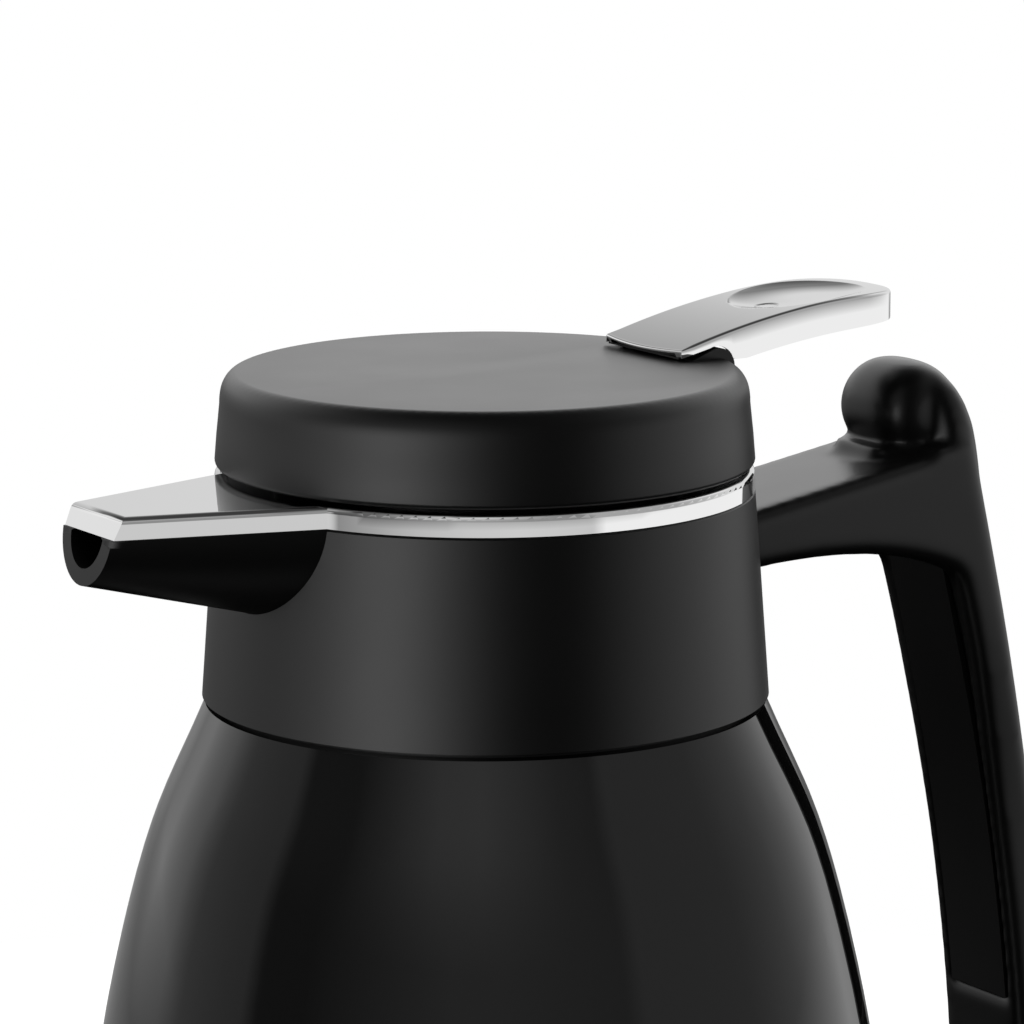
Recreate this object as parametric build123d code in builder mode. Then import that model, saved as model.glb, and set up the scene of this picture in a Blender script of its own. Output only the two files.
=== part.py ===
from build123d import *
from math import acos, degrees, tan, radians
import os

# Vacuum jug with a pouring spout, a screw stopper under a round lid, and a thumb lever.
# Origin at the centre of the face it stands on, +Z up, handle towards +X, spout towards -X.
# A name that ends in _h is a height above the seam between shell and collar.

# Outer shell
seam_z = 158.0
collar_r = 50.0
shell_wall = 2.2
shell_gap = 1.2
shell_set_in = 0.5
shell_bottom_z = 7.0
belly_growth = 22.0
foot_draw_in = 5.4
top_lean = 0.42
rim_lap = 2.4

# How far the shell's side lies inside the belly, by depth below the seam
shell_draw_in = {128.0: 1.9, 96.0: 0.0, 60.0: 3.7, 40.0: 8.0, 20.0: 14.1}

# Base
base_thread = 10.0
base_wall = 2.2
base_floor_z = 2.6
base_edge = 1.0
foot_ring_set_in = 11.4
foot_ring_half = 5.0
foot_ring_height = 3.0
foot_stand = 0.9
foot_ramp = 1.0
foot_rim = 3.0
cushion_r = 34.0
cushion_bore_r = 9.0

# Flask of double glass
glass_room = 10.0
glass = 1.6
glass_space = 2.8
neck_room = 13.0
neck_lip_h = 0.5
flask_low_z = 11.0
flask_dome = 25.0
flask_shoulder = 55.0
flask_shoulder_pull = 32.0
flask_neck = 8.0
flask_neck_pull = 25.0
tip_r = 3.0
tip_length = 2.0
gasket_skirt = 1.2
gasket_skirt_depth = 6.5

# Collar
collar_height = 36.46
collar_draft = 2.66
collar_wall = 2.9
collar_edge = 0.45
collar_floor_h = 14.9
collar_floor = 2.6
throat_wall = 3.4
shelf = 2.45
shelf_lap = 0.6
throat_lap = 0.2
foot_step = 2.4
foot_step_set_in = 3.0
boss_r = 3.2
pocket_half = 9.0
pocket_set_out = 2.6
pocket_wall = 2.0
pocket_height = 16.6
handle_seat_wall = 5.0
gallery_step = 0.8

# Chrome ring with the spout's cover
ring_width = 4.34
ring_height = 3.8
ring_edge = 1.2
cover_root_half = 18.9
cover_tip_half = 8.65
cover_reach = 34.9
cover_lean = 25.0

# Spout channel, half an oval hung under the cover
beak_wall = 2.2
beak_root_depth = 18.35
beak_tip_depth = 9.2
beak_overreach = 0.4
beak_lean = 10.0
beak_flange = 1.4
beak_flange_rim = 2.0

# Lid cap
lid_gap = 5.18
lid_height = 15.56
lid_overhang = 0.36
lid_draft = 1.2
lid_round = 3.2
lid_round_height = 5.5
lid_low_edge = 1.9
lid_wall = 2.2
lid_base_rise = 0.56
lid_base_height = 2.2
bead = 0.35

# Lever and its pivot
pivot_set_in = 5.5
pivot_drop = 1.6
pin_r = 1.3
pin_stop = 1.0
knuckle_r = 3.45
slot_half = 6.2
lever_half = 12.4
lever_front = 7.6
lever_tail = 37.0
lever_front_rise = 3.5
lever_tail_rise = 10.7
lever_bow = 1.45
lever_skin = 1.2
lever_front_side = 1.7
lever_nose_drop = 0.6
lever_side = 5.3
lever_front_skin = 1.2
lever_tail_skin = 2.6
lever_end_bow = 1.2
dimple_r = 11.0
dimple_depth = 1.1
dimple_set_in = 1.0
dimple_sink = 0.25
arm_pad = 2.4
arm_rib = 3.7
fork_drop = 12.6
fork_nose_r = 1.8
fork_bite = 2.2
bracket_half = 12.6
bracket_bridge = 2.5
bracket_bridge_drop = 9.2
bracket_wing = 2.4
bracket_wing_reach = 6.4
bracket_reach = 5.4
wing_screw_set = 4.6
wing_length = 6.0
wing_hole_roof = 0.8
wing_screw_roof = 1.2

# Handle. Its outlines are (distance out from the collar's foot, height above the seam)
grip_line = [
    (37.0, 58.0),
    (39.5, 36.0),
    (45.4, 10.0),
    (52.6, -20.0),
    (58.2, -50.0),
    (61.9, -80.0),
    (61.2, -103.0),
    (51.0, -120.0),
    (36.0, -126.4),
    (15.0, -127.4),
]
arm_under = [(24.0, 18.1), (39.0, 14.9), (47.0, 11.5)]
handle_half = 13.5
handle_low_half = 11.9
grip_side = 7.2
grip_crown = 11.2
arm_root_top_h = 28.3
arm_root_low_h = 17.5
arm_slope = 0.166
arm_edge = 1.8
arm_corner = 5.0
arm_reach = 50.0
arm_root_in = 8.0
arm_seat_rise = 0.6
grip_reach = 44.7
knob_r = 9.3
knob_half = 9.8
knob_h = 43.0
knob_reach = 36.6
knob_edge = 6.0
knob_blend = 2.0
post_round_r = 22.0
post_round_x = 29.0
post_round_h = 32.0
post_corner = 3.0
grip_strip = 2.0
grip_strip_half = 8.4
grip_hollow = 5.2
lower_screw_h = -133.4
lower_seat_in = 6.0
lower_boss_wall = 1.0

# Stopper
nose_low_h = -12.0
nose_floor = 2.5
nose_wall = 2.4
nose_clear = 1.2
nose_edge = 2.0
waist_step = 2.0
seat_r = 12.0
column_wall = 2.4
thread_gap = 1.4
thread_top_h = 16.5
flange_rise = 0.44
flange = 2.7
flange_clear = 0.6
pillar_set_in = 0.2
seal_rise = 0.7
rim_seal_gap = 0.15
rim_seal_height = 1.2
rim_seal_depth = 1.4
window_low_h = 19.5
window_height = 11.5
window_width = 15.0
windows = 8
guide_h = 32.8
guide = 2.6
guide_ledge = 1.6
guide_hub_r = 5.0
guide_hub_length = 18.0
guide_collar_wall = 1.6
guide_collar_step = 0.6
stem_r = 2.5
stem_seal_r = 4.4
stem_seal_height = 1.6
stem_head_r = 4.2
stem_head = 1.8
plug_lap = 3.5
plug_disc = 2.6
plug_hub_r = 5.5
plug_hub = 10.0
stem_socket = 8.0
seat_lap = 1.2
plug_guide = 1.2
plug_taper = 1.0
seal_set_in = 0.3
valve_seal_height = 1.5
gasket_height = 2.4
gasket_clear = 1.0
spring_r = 8.2
spring_wire_r = 0.6
spring_turns = 8

# Fits
fit = 0.1
loose = 0.3
running = 0.08

# How far a cutting shape runs past what it cuts
past = 9.0

# Screws
screw_r = 1.5
screw_head_r = 2.8
screw_head = 1.9
screw_length = 9.0
handle_hole = 11.0
washer_r = 3.5
washer = 0.8

# Worked out from the sizes above
belly_r = collar_r + belly_growth
base_r = belly_r - foot_draw_in
spigot_r = base_r - shell_wall - loose
foot_ring_r = base_r - foot_ring_set_in
lower_seat_r = belly_r - lower_seat_in
glass_r = belly_r - glass_room
neck_r = collar_r - neck_room
collar_low_z = seam_z - shell_gap
collar_top_z = seam_z + collar_height
collar_top_r = collar_r - collar_draft
gallery_r = collar_top_r - collar_wall
throat_floor_z = seam_z + collar_floor_h + collar_floor
neck_bore_r = neck_r - 2 * glass - glass_space
lip_top_z = seam_z + neck_lip_h
gasket_top_z = lip_top_z + shelf + fit
shelf_r = neck_bore_r + shelf_lap
shelf_top_z = gasket_top_z + shelf
throat_r = neck_r - throat_lap
rim_bore_r = throat_r + rim_lap
boss_circle_r = throat_r + throat_wall + boss_r - 4 * fit
ring_bore_r = collar_top_r - ring_width
cover_root_x = (collar_top_r**2 - cover_root_half**2) ** 0.5
cover_start_x = cover_root_x - ring_width
cover_tip_x = cover_root_x + cover_reach
beak_tip_x = cover_tip_x + beak_overreach
lid_low_z = collar_top_z + lid_gap
lid_top_z = lid_low_z + lid_height
lid_low_r = collar_top_r + lid_overhang
lid_side_r = lid_low_r - lid_draft
lid_base_z = lid_low_z + lid_base_rise
lid_base_top_z = lid_base_z + lid_base_height
pivot_x = lid_side_r - pivot_set_in
pivot_z = lid_top_z - pivot_drop
lever_front_x = pivot_x - lever_front
lever_tail_x = pivot_x + lever_tail
lever_front_z = pivot_z + lever_front_rise
lever_tail_z = pivot_z + lever_tail_rise
fork_z = pivot_z - fork_drop
skin_z = lid_top_z - lid_wall
bracket_front_x = pivot_x - bracket_reach
bracket_back_x = pivot_x + loose
bridge_z = pivot_z - bracket_bridge_drop
nose_r = shelf_r - nose_clear
nose_z = seam_z + nose_low_h
seat_z = nose_z + nose_floor
plug_r = seat_r + plug_lap
plug_z = seat_z + valve_seal_height + fit
shoulder_z = shelf_top_z + gasket_height + 2 * fit
thread_r = throat_r - thread_gap
column_r = thread_r - waist_step
column_bore_r = column_r - column_wall
flange_z = collar_top_z + flange_rise
flange_r = ring_bore_r - flange_clear
pillar_circle_r = flange_r - boss_r - pillar_set_in
guide_z = seam_z + guide_h
guide_top_z = guide_z + guide
hub_top_z = guide_top_z + guide_collar_step + stem_seal_height


def shell_line(inset):
    # Points of the shell's side from its foot to its top, moved inwards by inset.
    return [
        (base_r - inset, shell_bottom_z),
        *[(belly_r - draw_in - inset, seam_z - depth) for depth, draw_in in shell_draw_in.items()],
        (collar_r - shell_set_in - inset + top_lean * inset, collar_low_z - inset),
    ]


def from_collar(outline):
    # Places of an outline that is measured outwards from the collar's foot and up from the seam.
    return [(collar_r + out, seam_z + height) for out, height in outline]


def cover_half(x):
    # Half width of the spout's cover at a distance x from the axis.
    narrowing = (cover_root_half - cover_tip_half) / cover_reach
    return cover_root_half - (x - cover_root_x) * narrowing


def beak_depth(x):
    # Depth of the channel under the cover at a distance x from the axis.
    rise = (beak_root_depth - beak_tip_depth) / (beak_tip_x - cover_root_x)
    return beak_root_depth - (x - cover_root_x) * rise


def half_oval(x, inset):
    # Lower half of an oval, square to the spout, its flat side level with the collar's top.
    plane = Plane(origin=(-x, 0, collar_top_z), x_dir=(0, 1, 0), z_dir=(-1, 0, 0))
    half = cover_half(x) - inset
    depth = beak_depth(x) - inset
    with BuildSketch(plane) as oval:
        Ellipse(half, depth)
        with Locations((0, -depth)):
            Rectangle(4 * half, 2 * depth, mode=Mode.SUBTRACT)
    return oval.sketch


def trough(inset, start_x, end_x):
    # Tapered body between two half ovals.
    with BuildPart() as body:
        loft(sections=[half_oval(start_x, inset), half_oval(end_x, inset)], ruled=True)
    return body.part


def screw_at(origin, direction, length):
    # Pan head screw, its head's bearing face at origin and its shank along direction.
    plane = Plane(origin=origin, z_dir=direction)
    with BuildPart() as screw:
        with BuildSketch(plane):
            Circle(screw_r)
        extrude(amount=length)
        with BuildSketch(plane):
            Circle(screw_head_r)
        extrude(amount=-screw_head)
        with BuildSketch(plane.offset(-screw_head)):
            Rectangle(screw_head_r, screw_r / 2)
            Rectangle(screw_r / 2, screw_head_r)
        extrude(amount=screw_head / 2, mode=Mode.SUBTRACT)
    return screw.part


def washer_at(origin, direction):
    with BuildPart() as disc:
        with BuildSketch(Plane(origin=origin, z_dir=direction)):
            Circle(washer_r)
            Circle(screw_r + fit, mode=Mode.SUBTRACT)
        extrude(amount=washer)
    return disc.part


def around(radius, height, angles):
    # Points on a level circle.
    return [Vector(radius, 0, height).rotate(Axis.Z, angle) for angle in angles]


def rod(start, end, radius):
    # Round bar between two points.
    along = Vector(end) - Vector(start)
    with BuildPart() as bar:
        with BuildSketch(Plane(origin=start, z_dir=along)):
            Circle(radius)
        extrude(amount=along.length)
    return bar.part


os.makedirs("parts", exist_ok=True)
third_angles = (60, 180, 300)

# Outer shell, open at the foot and at the rim
lower_screw_z = seam_z + lower_screw_h
with BuildPart() as body_shell:
    with BuildSketch(Plane.XZ):
        with BuildLine():
            outside = Spline(*shell_line(0), tangents=[(0.2, 1), (-top_lean, 1)])
            inside = Spline(*shell_line(shell_wall), tangents=[(0.2, 1), (-top_lean, 1)])
            Polyline(
                outside @ 1,
                (rim_bore_r, collar_low_z),
                (rim_bore_r, collar_low_z - shell_wall),
                inside @ 1,
            )
            Line(inside @ 0, outside @ 0)
        make_face()
    revolve(axis=Axis.Z)
    boss_end = (lower_seat_r + lower_seat_in / 2, 0, lower_screw_z)
    add(rod((lower_seat_r, 0, lower_screw_z), boss_end, washer_r + lower_boss_wall))
    add(
        rod((lower_seat_r, 0, lower_screw_z), (belly_r, 0, lower_screw_z), screw_r + fit),
        mode=Mode.SUBTRACT,
    )
    for place in around(boss_circle_r, collar_low_z, third_angles):
        add(rod(place, place - Vector(0, 0, 2 * shell_wall), screw_r + fit), mode=Mode.SUBTRACT)
body_shell.part.label = "body_shell"
export_step(body_shell.part, "parts/body_shell.step")

# Screw-in base with the groove of its foot ring
groove_in_r = foot_ring_r - foot_ring_half
groove_out_r = foot_ring_r + foot_ring_half
floor_top_z = foot_ring_height + base_wall
with BuildPart() as base_cap:
    with BuildSketch(Plane.XZ):
        with BuildLine():
            Polyline(
                (0, base_floor_z),
                (groove_in_r - foot_rim - foot_ramp, base_floor_z),
                (groove_in_r - foot_rim, foot_stand),
                (groove_in_r, foot_stand),
                (groove_in_r, foot_ring_height),
                (groove_out_r, foot_ring_height),
                (groove_out_r, foot_stand),
                (base_r - base_edge, foot_stand),
                (base_r, foot_stand + base_edge),
                (base_r, shell_bottom_z),
                (spigot_r, shell_bottom_z),
                (spigot_r, shell_bottom_z + base_thread),
                (spigot_r - base_wall, shell_bottom_z + base_thread),
                (spigot_r - base_wall, floor_top_z),
                (0, floor_top_z),
                close=True,
            )
        make_face()
    revolve(axis=Axis.Z)
base_cap.part.label = "base_cap"
export_step(base_cap.part, "parts/base_cap.step")

with BuildPart() as foot_ring:
    with BuildSketch(Plane.XZ):
        with BuildLine():
            Polyline(
                (groove_in_r + fit, foot_ring_height),
                (groove_in_r + fit, base_edge / 2),
                (groove_in_r + fit + base_edge / 2, 0),
                (groove_out_r - fit - base_edge / 2, 0),
                (groove_out_r - fit, base_edge / 2),
                (groove_out_r - fit, foot_ring_height),
                close=True,
            )
        make_face()
    revolve(axis=Axis.Z)
foot_ring.part.label = "foot_ring"
export_step(foot_ring.part, "parts/foot_ring.step")

# Double-walled flask: the space between its two glasses is closed at the lip
waist_z = flask_low_z + flask_dome
bore_inset = glass_space + 2 * glass
lip_z = lip_top_z - bore_inset / 2
lip_x = neck_r - bore_inset / 2


def flask_side(inset):
    # Side of the flask from its lowest point to its lip, moved inwards by inset.
    shoulder_low_z = seam_z - flask_shoulder
    neck_z = lip_top_z - flask_neck
    drop = inset / 2
    side_r = glass_r - inset
    top_r = neck_r - inset
    EllipticalCenterArc((0, waist_z), side_r, flask_dome - inset, start_angle=270, arc_size=90)
    Line((side_r, waist_z), (side_r, shoulder_low_z))
    Bezier(
        (side_r, shoulder_low_z),
        (side_r, shoulder_low_z + flask_shoulder_pull - drop),
        (top_r, neck_z - flask_neck_pull - drop),
        (top_r, neck_z),
    )
    Line((top_r, neck_z), (top_r, lip_z))


def flask_layer(outer_inset, inner_inset):
    # Face between two sides of the flask, joined round the lip.
    lip_r = (inner_inset - outer_inset) / 2
    with BuildSketch() as layer:
        with BuildLine():
            flask_side(outer_inset)
            flask_side(inner_inset)
            ThreePointArc(
                (neck_r - outer_inset, lip_z), (lip_x, lip_z + lip_r), (neck_r - inner_inset, lip_z)
            )
            Line((0, flask_low_z + outer_inset), (0, flask_low_z + inner_inset))
        make_face()
    return layer.sketch


with BuildPart() as glass_liner:
    with BuildSketch(Plane.XZ):
        add(flask_layer(0, bore_inset))
        add(flask_layer(glass, glass + glass_space), mode=Mode.SUBTRACT)
    revolve(axis=Axis.Z)
    # Tip where the flask was pumped out and sealed
    add(rod((0, 0, flask_low_z - tip_length), (0, 0, flask_low_z + glass / 2), tip_r))
glass_liner.part.label = "glass_liner"
export_step(glass_liner.part, "parts/glass_liner.step")

# Soft seat of the flask, hollow round its sealed tip
with BuildPart() as liner_cushion:
    seat_side = glass_r + fit
    seat_start = -degrees(acos(cushion_bore_r / seat_side))
    seat_end = -degrees(acos(cushion_r / seat_side))
    with BuildSketch(Plane.XZ):
        with BuildLine():
            seat = EllipticalCenterArc(
                (0, waist_z), seat_side, flask_dome + fit, seat_start, arc_size=seat_end - seat_start
            )
            Polyline(seat @ 1, (cushion_r, floor_top_z), (cushion_bore_r, floor_top_z), seat @ 0)
        make_face()
    revolve(axis=Axis.Z)
liner_cushion.part.label = "liner_cushion"
export_step(liner_cushion.part, "parts/liner_cushion.step")

# Soft ring between the flask's lip and the collar, with a skirt round the neck
skirt_r = neck_r + fit
with BuildPart() as neck_gasket:
    with BuildSketch(Plane.XZ):
        with BuildLine():
            Polyline(
                (neck_bore_r + fit, lip_top_z + fit),
                (neck_bore_r + fit, gasket_top_z),
                (skirt_r + gasket_skirt, gasket_top_z),
                (skirt_r + gasket_skirt, lip_top_z - gasket_skirt_depth),
                (skirt_r, lip_top_z - gasket_skirt_depth),
                (skirt_r, lip_top_z + fit),
                close=True,
            )
        make_face()
    revolve(axis=Axis.Z)
neck_gasket.part.label = "neck_gasket"
export_step(neck_gasket.part, "parts/neck_gasket.step")

# Collar: outer wall, pouring gallery, throat for the stopper and shelf for its gasket
gallery_floor_z = throat_floor_z + gallery_step
throat_out_r = throat_r + throat_wall
hollow_r = collar_r - collar_wall
gasket_room_r = skirt_r + gasket_skirt + fit
step_out_r = collar_r - foot_step_set_in
step_in_r = collar_r - 2 * foot_step
arm_middle_z = seam_z + (arm_root_top_h + arm_root_low_h) / 2 + arm_seat_rise
pocket_out_x = collar_r - handle_seat_wall
pocket_in_x = throat_r + pocket_set_out
with BuildPart() as collar:
    with BuildSketch(Plane.XZ):
        with BuildLine():
            Polyline(
                (collar_r, seam_z),
                (collar_top_r + collar_edge * collar_draft / collar_height, collar_top_z - collar_edge),
                (collar_top_r - collar_edge, collar_top_z),
                (gallery_r, collar_top_z),
                (gallery_r, gallery_floor_z),
                (throat_out_r, throat_floor_z),
                (throat_r, throat_floor_z),
                (throat_r, shelf_top_z),
                (shelf_r, shelf_top_z),
                (shelf_r, gasket_top_z + fit),
                (gasket_room_r, gasket_top_z + fit),
                (gasket_room_r, collar_low_z),
                (throat_out_r, collar_low_z),
                (throat_out_r, seam_z + collar_floor_h),
                (hollow_r - gallery_step, seam_z + collar_floor_h),
                (hollow_r, seam_z + foot_step / 2),
                (step_in_r, seam_z + foot_step / 2),
                (step_in_r, collar_low_z),
                (step_out_r, collar_low_z),
                (step_out_r, seam_z),
                close=True,
            )
        make_face()
    revolve(axis=Axis.Z)
    # Bosses for the three screws that come up through the shell's rim
    for place in around(boss_circle_r, collar_low_z, third_angles):
        add(rod(place, place + Vector(0, 0, collar_floor_h + shell_gap), boss_r))
        add(rod(place, place + Vector(0, 0, screw_length), screw_r + fit), mode=Mode.SUBTRACT)
    # Dry pocket for the heads of the handle's screws, open to the hollow below
    pocket_top_z = seam_z + collar_floor_h + pocket_height
    with BuildSketch(Plane.XY.offset(seam_z + collar_floor_h)):
        with Locations(((pocket_in_x - pocket_wall + gallery_r) / 2, 0)):
            Rectangle(gallery_r - pocket_in_x + pocket_wall, 2 * (pocket_half + pocket_wall))
    extrude(amount=pocket_height + pocket_wall)
    with BuildSketch(Plane.XY.offset(seam_z + collar_floor_h - washer)):
        with Locations(((pocket_in_x + pocket_out_x) / 2, 0)):
            Rectangle(pocket_out_x - pocket_in_x, 2 * pocket_half)
    extrude(amount=pocket_height + washer, mode=Mode.SUBTRACT)
    for side in (-1, 1):
        place = Vector(pocket_out_x - washer, side * pocket_half / 2, arm_middle_z)
        add(rod(place, place + Vector(past, 0, 0), screw_r + fit), mode=Mode.SUBTRACT)
    # Cut-out that the spout's channel comes through
    add(trough(-fit, gallery_r - past, collar_r + past), mode=Mode.SUBTRACT)
collar.part.label = "collar"
export_step(collar.part, "parts/collar.step")

with BuildPart() as collar_screws:
    for place in around(boss_circle_r, collar_low_z - shell_wall, third_angles):
        add(screw_at(place, (0, 0, 1), screw_length))
collar_screws.part.label = "collar_screws"
export_step(collar_screws.part, "parts/collar_screws.step")

# Spout channel with a flange that lies against the collar's inside
with BuildPart() as spout_beak:
    add(trough(-beak_flange_rim, ring_bore_r - past, collar_r + past))
    with BuildSketch(Plane.XY.offset(gallery_floor_z)):
        Circle(gallery_r - fit)
        Circle(gallery_r - beak_flange, mode=Mode.SUBTRACT)
    extrude(amount=collar_top_z - gallery_floor_z, mode=Mode.INTERSECT)
    with BuildPart(mode=Mode.PRIVATE) as channel:
        add(trough(0, ring_bore_r - past / 2, beak_tip_x + past / 2))
        with BuildSketch(Plane.XY.offset(seam_z)):
            Circle(gallery_r - beak_flange)
        extrude(amount=2 * collar_height, mode=Mode.SUBTRACT)
    add(channel.part)
    add(trough(beak_wall, ring_bore_r - past, beak_tip_x + past), mode=Mode.SUBTRACT)
    mouth = Plane(origin=(-beak_tip_x, 0, collar_top_z), z_dir=(-1, 0, 0)).rotated((0, beak_lean, 0))
    split(bisect_by=mouth, keep=Keep.BOTTOM)
spout_beak.part.label = "spout_beak"
export_step(spout_beak.part, "parts/spout_beak.step")

# Chrome ring and spout cover in one piece
with BuildPart() as trim_ring:
    with BuildSketch(Plane.XY.offset(collar_top_z)):
        Circle(collar_top_r)
        with BuildLine():
            Polyline(
                (-cover_start_x, cover_half(cover_start_x)),
                (-cover_tip_x, cover_tip_half),
                (-cover_tip_x, -cover_tip_half),
                (-cover_start_x, -cover_half(cover_start_x)),
                close=True,
            )
        make_face()
        Circle(ring_bore_r, mode=Mode.SUBTRACT)
    extrude(amount=ring_height)
    front = Plane(origin=(-cover_tip_x, 0, collar_top_z), z_dir=(-1, 0, tan(radians(cover_lean))))
    split(bisect_by=front, keep=Keep.BOTTOM)
    top_edges = trim_ring.faces().sort_by(Axis.Z)[-1].outer_wire().edges()
    fillet(top_edges, ring_edge)
trim_ring.part.label = "trim_ring"
export_step(trim_ring.part, "parts/trim_ring.step")

# Handle: grip and thumb post swept along the line of the grip's inner face, with arm and knob
with BuildLine(Plane.XZ) as grip_path:
    Spline(*from_collar(grip_line))
grip_edge = grip_path.edge()


def grip_sweep(half, inner, outer, crown, path):
    # Body along the grip: inner and outer are distances from the inner face, crown bulges out.
    section = Plane(origin=path @ 0, x_dir=(0, 1, 0), z_dir=path % 0)
    with BuildPart() as body:
        with BuildSketch(section):
            with BuildLine():
                Polyline((-half, outer), (-half, inner), (half, inner), (half, outer))
                if crown > outer:
                    ThreePointArc((-half, outer), (0, crown), (half, outer))
                else:
                    Line((-half, outer), (half, outer))
            make_face()
        sweep(path=path)
    return body.part


def knob_body():
    with BuildPart() as body:
        with BuildSketch(Plane.XZ.offset(-knob_half)):
            with Locations((collar_r + knob_reach, seam_z + knob_h)):
                Circle(knob_r)
        extrude(amount=2 * knob_half)
        fillet(body.edges().filter_by(GeomType.CIRCLE), knob_edge)
    return body.part


def shell_core(growth):
    # Solid of the shell's outside, with the collar above it, used to trim what seats on them.
    with BuildPart() as core:
        with BuildSketch(Plane.XZ):
            with BuildLine():
                side = Spline(*shell_line(-growth), tangents=[(0.2, 1), (-top_lean, 1)])
                Polyline(
                    side @ 1,
                    (collar_r + growth, seam_z),
                    (collar_top_r + growth, collar_top_z),
                    (0, collar_top_z),
                    (0, shell_bottom_z),
                    side @ 0,
                )
            make_face()
        revolve(axis=Axis.Z)
    return core.part


hollow_path = grip_edge.trim(0.2, 0.6)
with BuildPart() as handle_shell:
    add(grip_sweep(handle_half, 0, grip_side, grip_crown, grip_edge))
    # Arm from the collar to the grip
    with BuildSketch(Plane.XZ.offset(-handle_half)):
        with BuildLine():
            arm_start_x = collar_r - arm_root_in
            arm_start_z = seam_z + arm_root_top_h - arm_root_in * arm_slope / 2
            arm_top = Line(
                (arm_start_x, arm_start_z),
                (arm_start_x + arm_reach, arm_start_z + arm_reach * arm_slope),
            )
            arm_low = Spline((arm_start_x, seam_z + arm_root_low_h), *from_collar(arm_under))
            Line(arm_top @ 0, arm_low @ 0)
            Line(arm_top @ 1, arm_low @ 1)
        make_face()
    extrude(amount=2 * handle_half)
    # Rounded end of the thumb post
    with BuildSketch(Plane.XZ.offset(-2 * handle_half)):
        with BuildLine():
            post_round = CenterArc(
                (collar_r + post_round_x, seam_z + post_round_h), post_round_r, 0, arc_size=90
            )
            Polyline(
                post_round @ 1,
                (0, (post_round @ 1).Y),
                (0, 0),
                (2 * belly_r, 0),
                (2 * belly_r, (post_round @ 0).Y),
                post_round @ 0,
            )
        make_face()
    extrude(amount=4 * handle_half, mode=Mode.INTERSECT)
    # Inner corners between arm, grip and post
    across = handle_shell.edges().filter_by_position(Axis.Y, -fit, fit)
    across = across.filter_by_position(Axis.X, collar_r + grip_reach - 7, collar_r + grip_reach + 2)
    fillet(across.filter_by_position(Axis.Z, seam_z + 10, seam_z + 16), arm_corner)
    fillet(across.filter_by_position(Axis.Z, seam_z + 34, seam_z + 37), post_corner)
    # Sides draw in towards the lower end
    with BuildSketch(Plane.YZ.offset(collar_r - 20)):
        with BuildLine():
            draw = Spline(
                (handle_half, seam_z + 5),
                ((handle_half + handle_low_half) / 2, seam_z - 18),
                (handle_low_half, seam_z - 45),
                tangents=[(0, -1), (0, -1)],
            )
            Polyline(
                draw @ 0,
                (handle_half, lid_top_z + handle_half),
                (0, lid_top_z + handle_half),
                (0, shell_bottom_z),
                (handle_low_half, shell_bottom_z),
                draw @ 1,
            )
        make_face()
        mirror(about=Plane.YZ)
    extrude(amount=2 * belly_r, mode=Mode.INTERSECT)
    beside = handle_shell.edges().filter_by_position(Axis.X, collar_r, 3 * belly_r)
    near_side = beside.filter_by_position(Axis.Y, -handle_half - fit, fit - handle_low_half)
    far_side = beside.filter_by_position(Axis.Y, handle_low_half - fit, handle_half + fit)
    fillet(near_side + far_side, arm_edge)
    # Knob of the thumb post
    add(knob_body())
    root = handle_shell.edges().filter_by_position(Axis.Z, seam_z + 34, seam_z + 35.3)
    root = root.filter_by_position(Axis.X, collar_r + knob_reach - 5, collar_r + knob_reach + 0.3)
    fillet(root.filter_by_position(Axis.Y, -knob_half - 2, knob_half + 2), knob_blend)
    add(shell_core(2 * fit), mode=Mode.SUBTRACT)
    # Hollow of the grip with the recess of its closing strip
    add(grip_sweep(grip_strip_half, -1, grip_strip, 0, hollow_path), mode=Mode.SUBTRACT)
    cavity_path = hollow_path.trim(0.03, 0.97)
    add(grip_sweep(grip_strip_half - 1.5, 0, grip_strip + grip_hollow, 0, cavity_path), mode=Mode.SUBTRACT)
    # Screw holes
    for side in (-1, 1):
        place = Vector(pocket_out_x, side * pocket_half / 2, arm_middle_z)
        add(rod(place, place + Vector(handle_hole, 0, 0), screw_r + fit), mode=Mode.SUBTRACT)
    place = Vector(lower_seat_r, 0, lower_screw_z)
    add(rod(place, place + Vector(handle_hole, 0, 0), screw_r + fit), mode=Mode.SUBTRACT)
handle_shell.part.label = "handle_shell"
export_step(handle_shell.part, "parts/handle_shell.step")

# Strip that closes the grip, flush with its inner face
with BuildPart() as handle_cover:
    add(grip_sweep(grip_strip_half - fit, 0, grip_strip - fit, 0, hollow_path.trim(0.003, 0.997)))
handle_cover.part.label = "handle_cover"
export_step(handle_cover.part, "parts/handle_cover.step")

# Screws and washers that hold the handle: two from the collar's pocket, one from inside the shell
handle_seats = [
    Vector(pocket_out_x, -pocket_half / 2, arm_middle_z),
    Vector(pocket_out_x, pocket_half / 2, arm_middle_z),
    Vector(lower_seat_r, 0, lower_screw_z),
]
with BuildPart() as handle_screws:
    for place in handle_seats:
        add(screw_at(place - Vector(washer, 0, 0), (1, 0, 0), screw_length))
handle_screws.part.label = "handle_screws"
export_step(handle_screws.part, "parts/handle_screws.step")
with BuildPart() as handle_washers:
    for place in handle_seats:
        add(washer_at(place, (-1, 0, 0)))
handle_washers.part.label = "handle_washers"
export_step(handle_washers.part, "parts/handle_washers.step")

# Gasket that the stopper presses on the collar's shelf
with BuildPart() as stopper_gasket:
    with BuildSketch(Plane.XZ):
        with BuildLine():
            Polyline(
                (nose_r + loose, shelf_top_z + fit),
                (throat_r - gasket_clear, shelf_top_z + fit),
                (throat_r - gasket_clear, shelf_top_z + fit + gasket_height),
                (nose_r + loose, shelf_top_z + fit + gasket_height),
                close=True,
            )
        make_face()
    revolve(axis=Axis.Z)
stopper_gasket.part.label = "stopper_gasket"
export_step(stopper_gasket.part, "parts/stopper_gasket.step")

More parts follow.
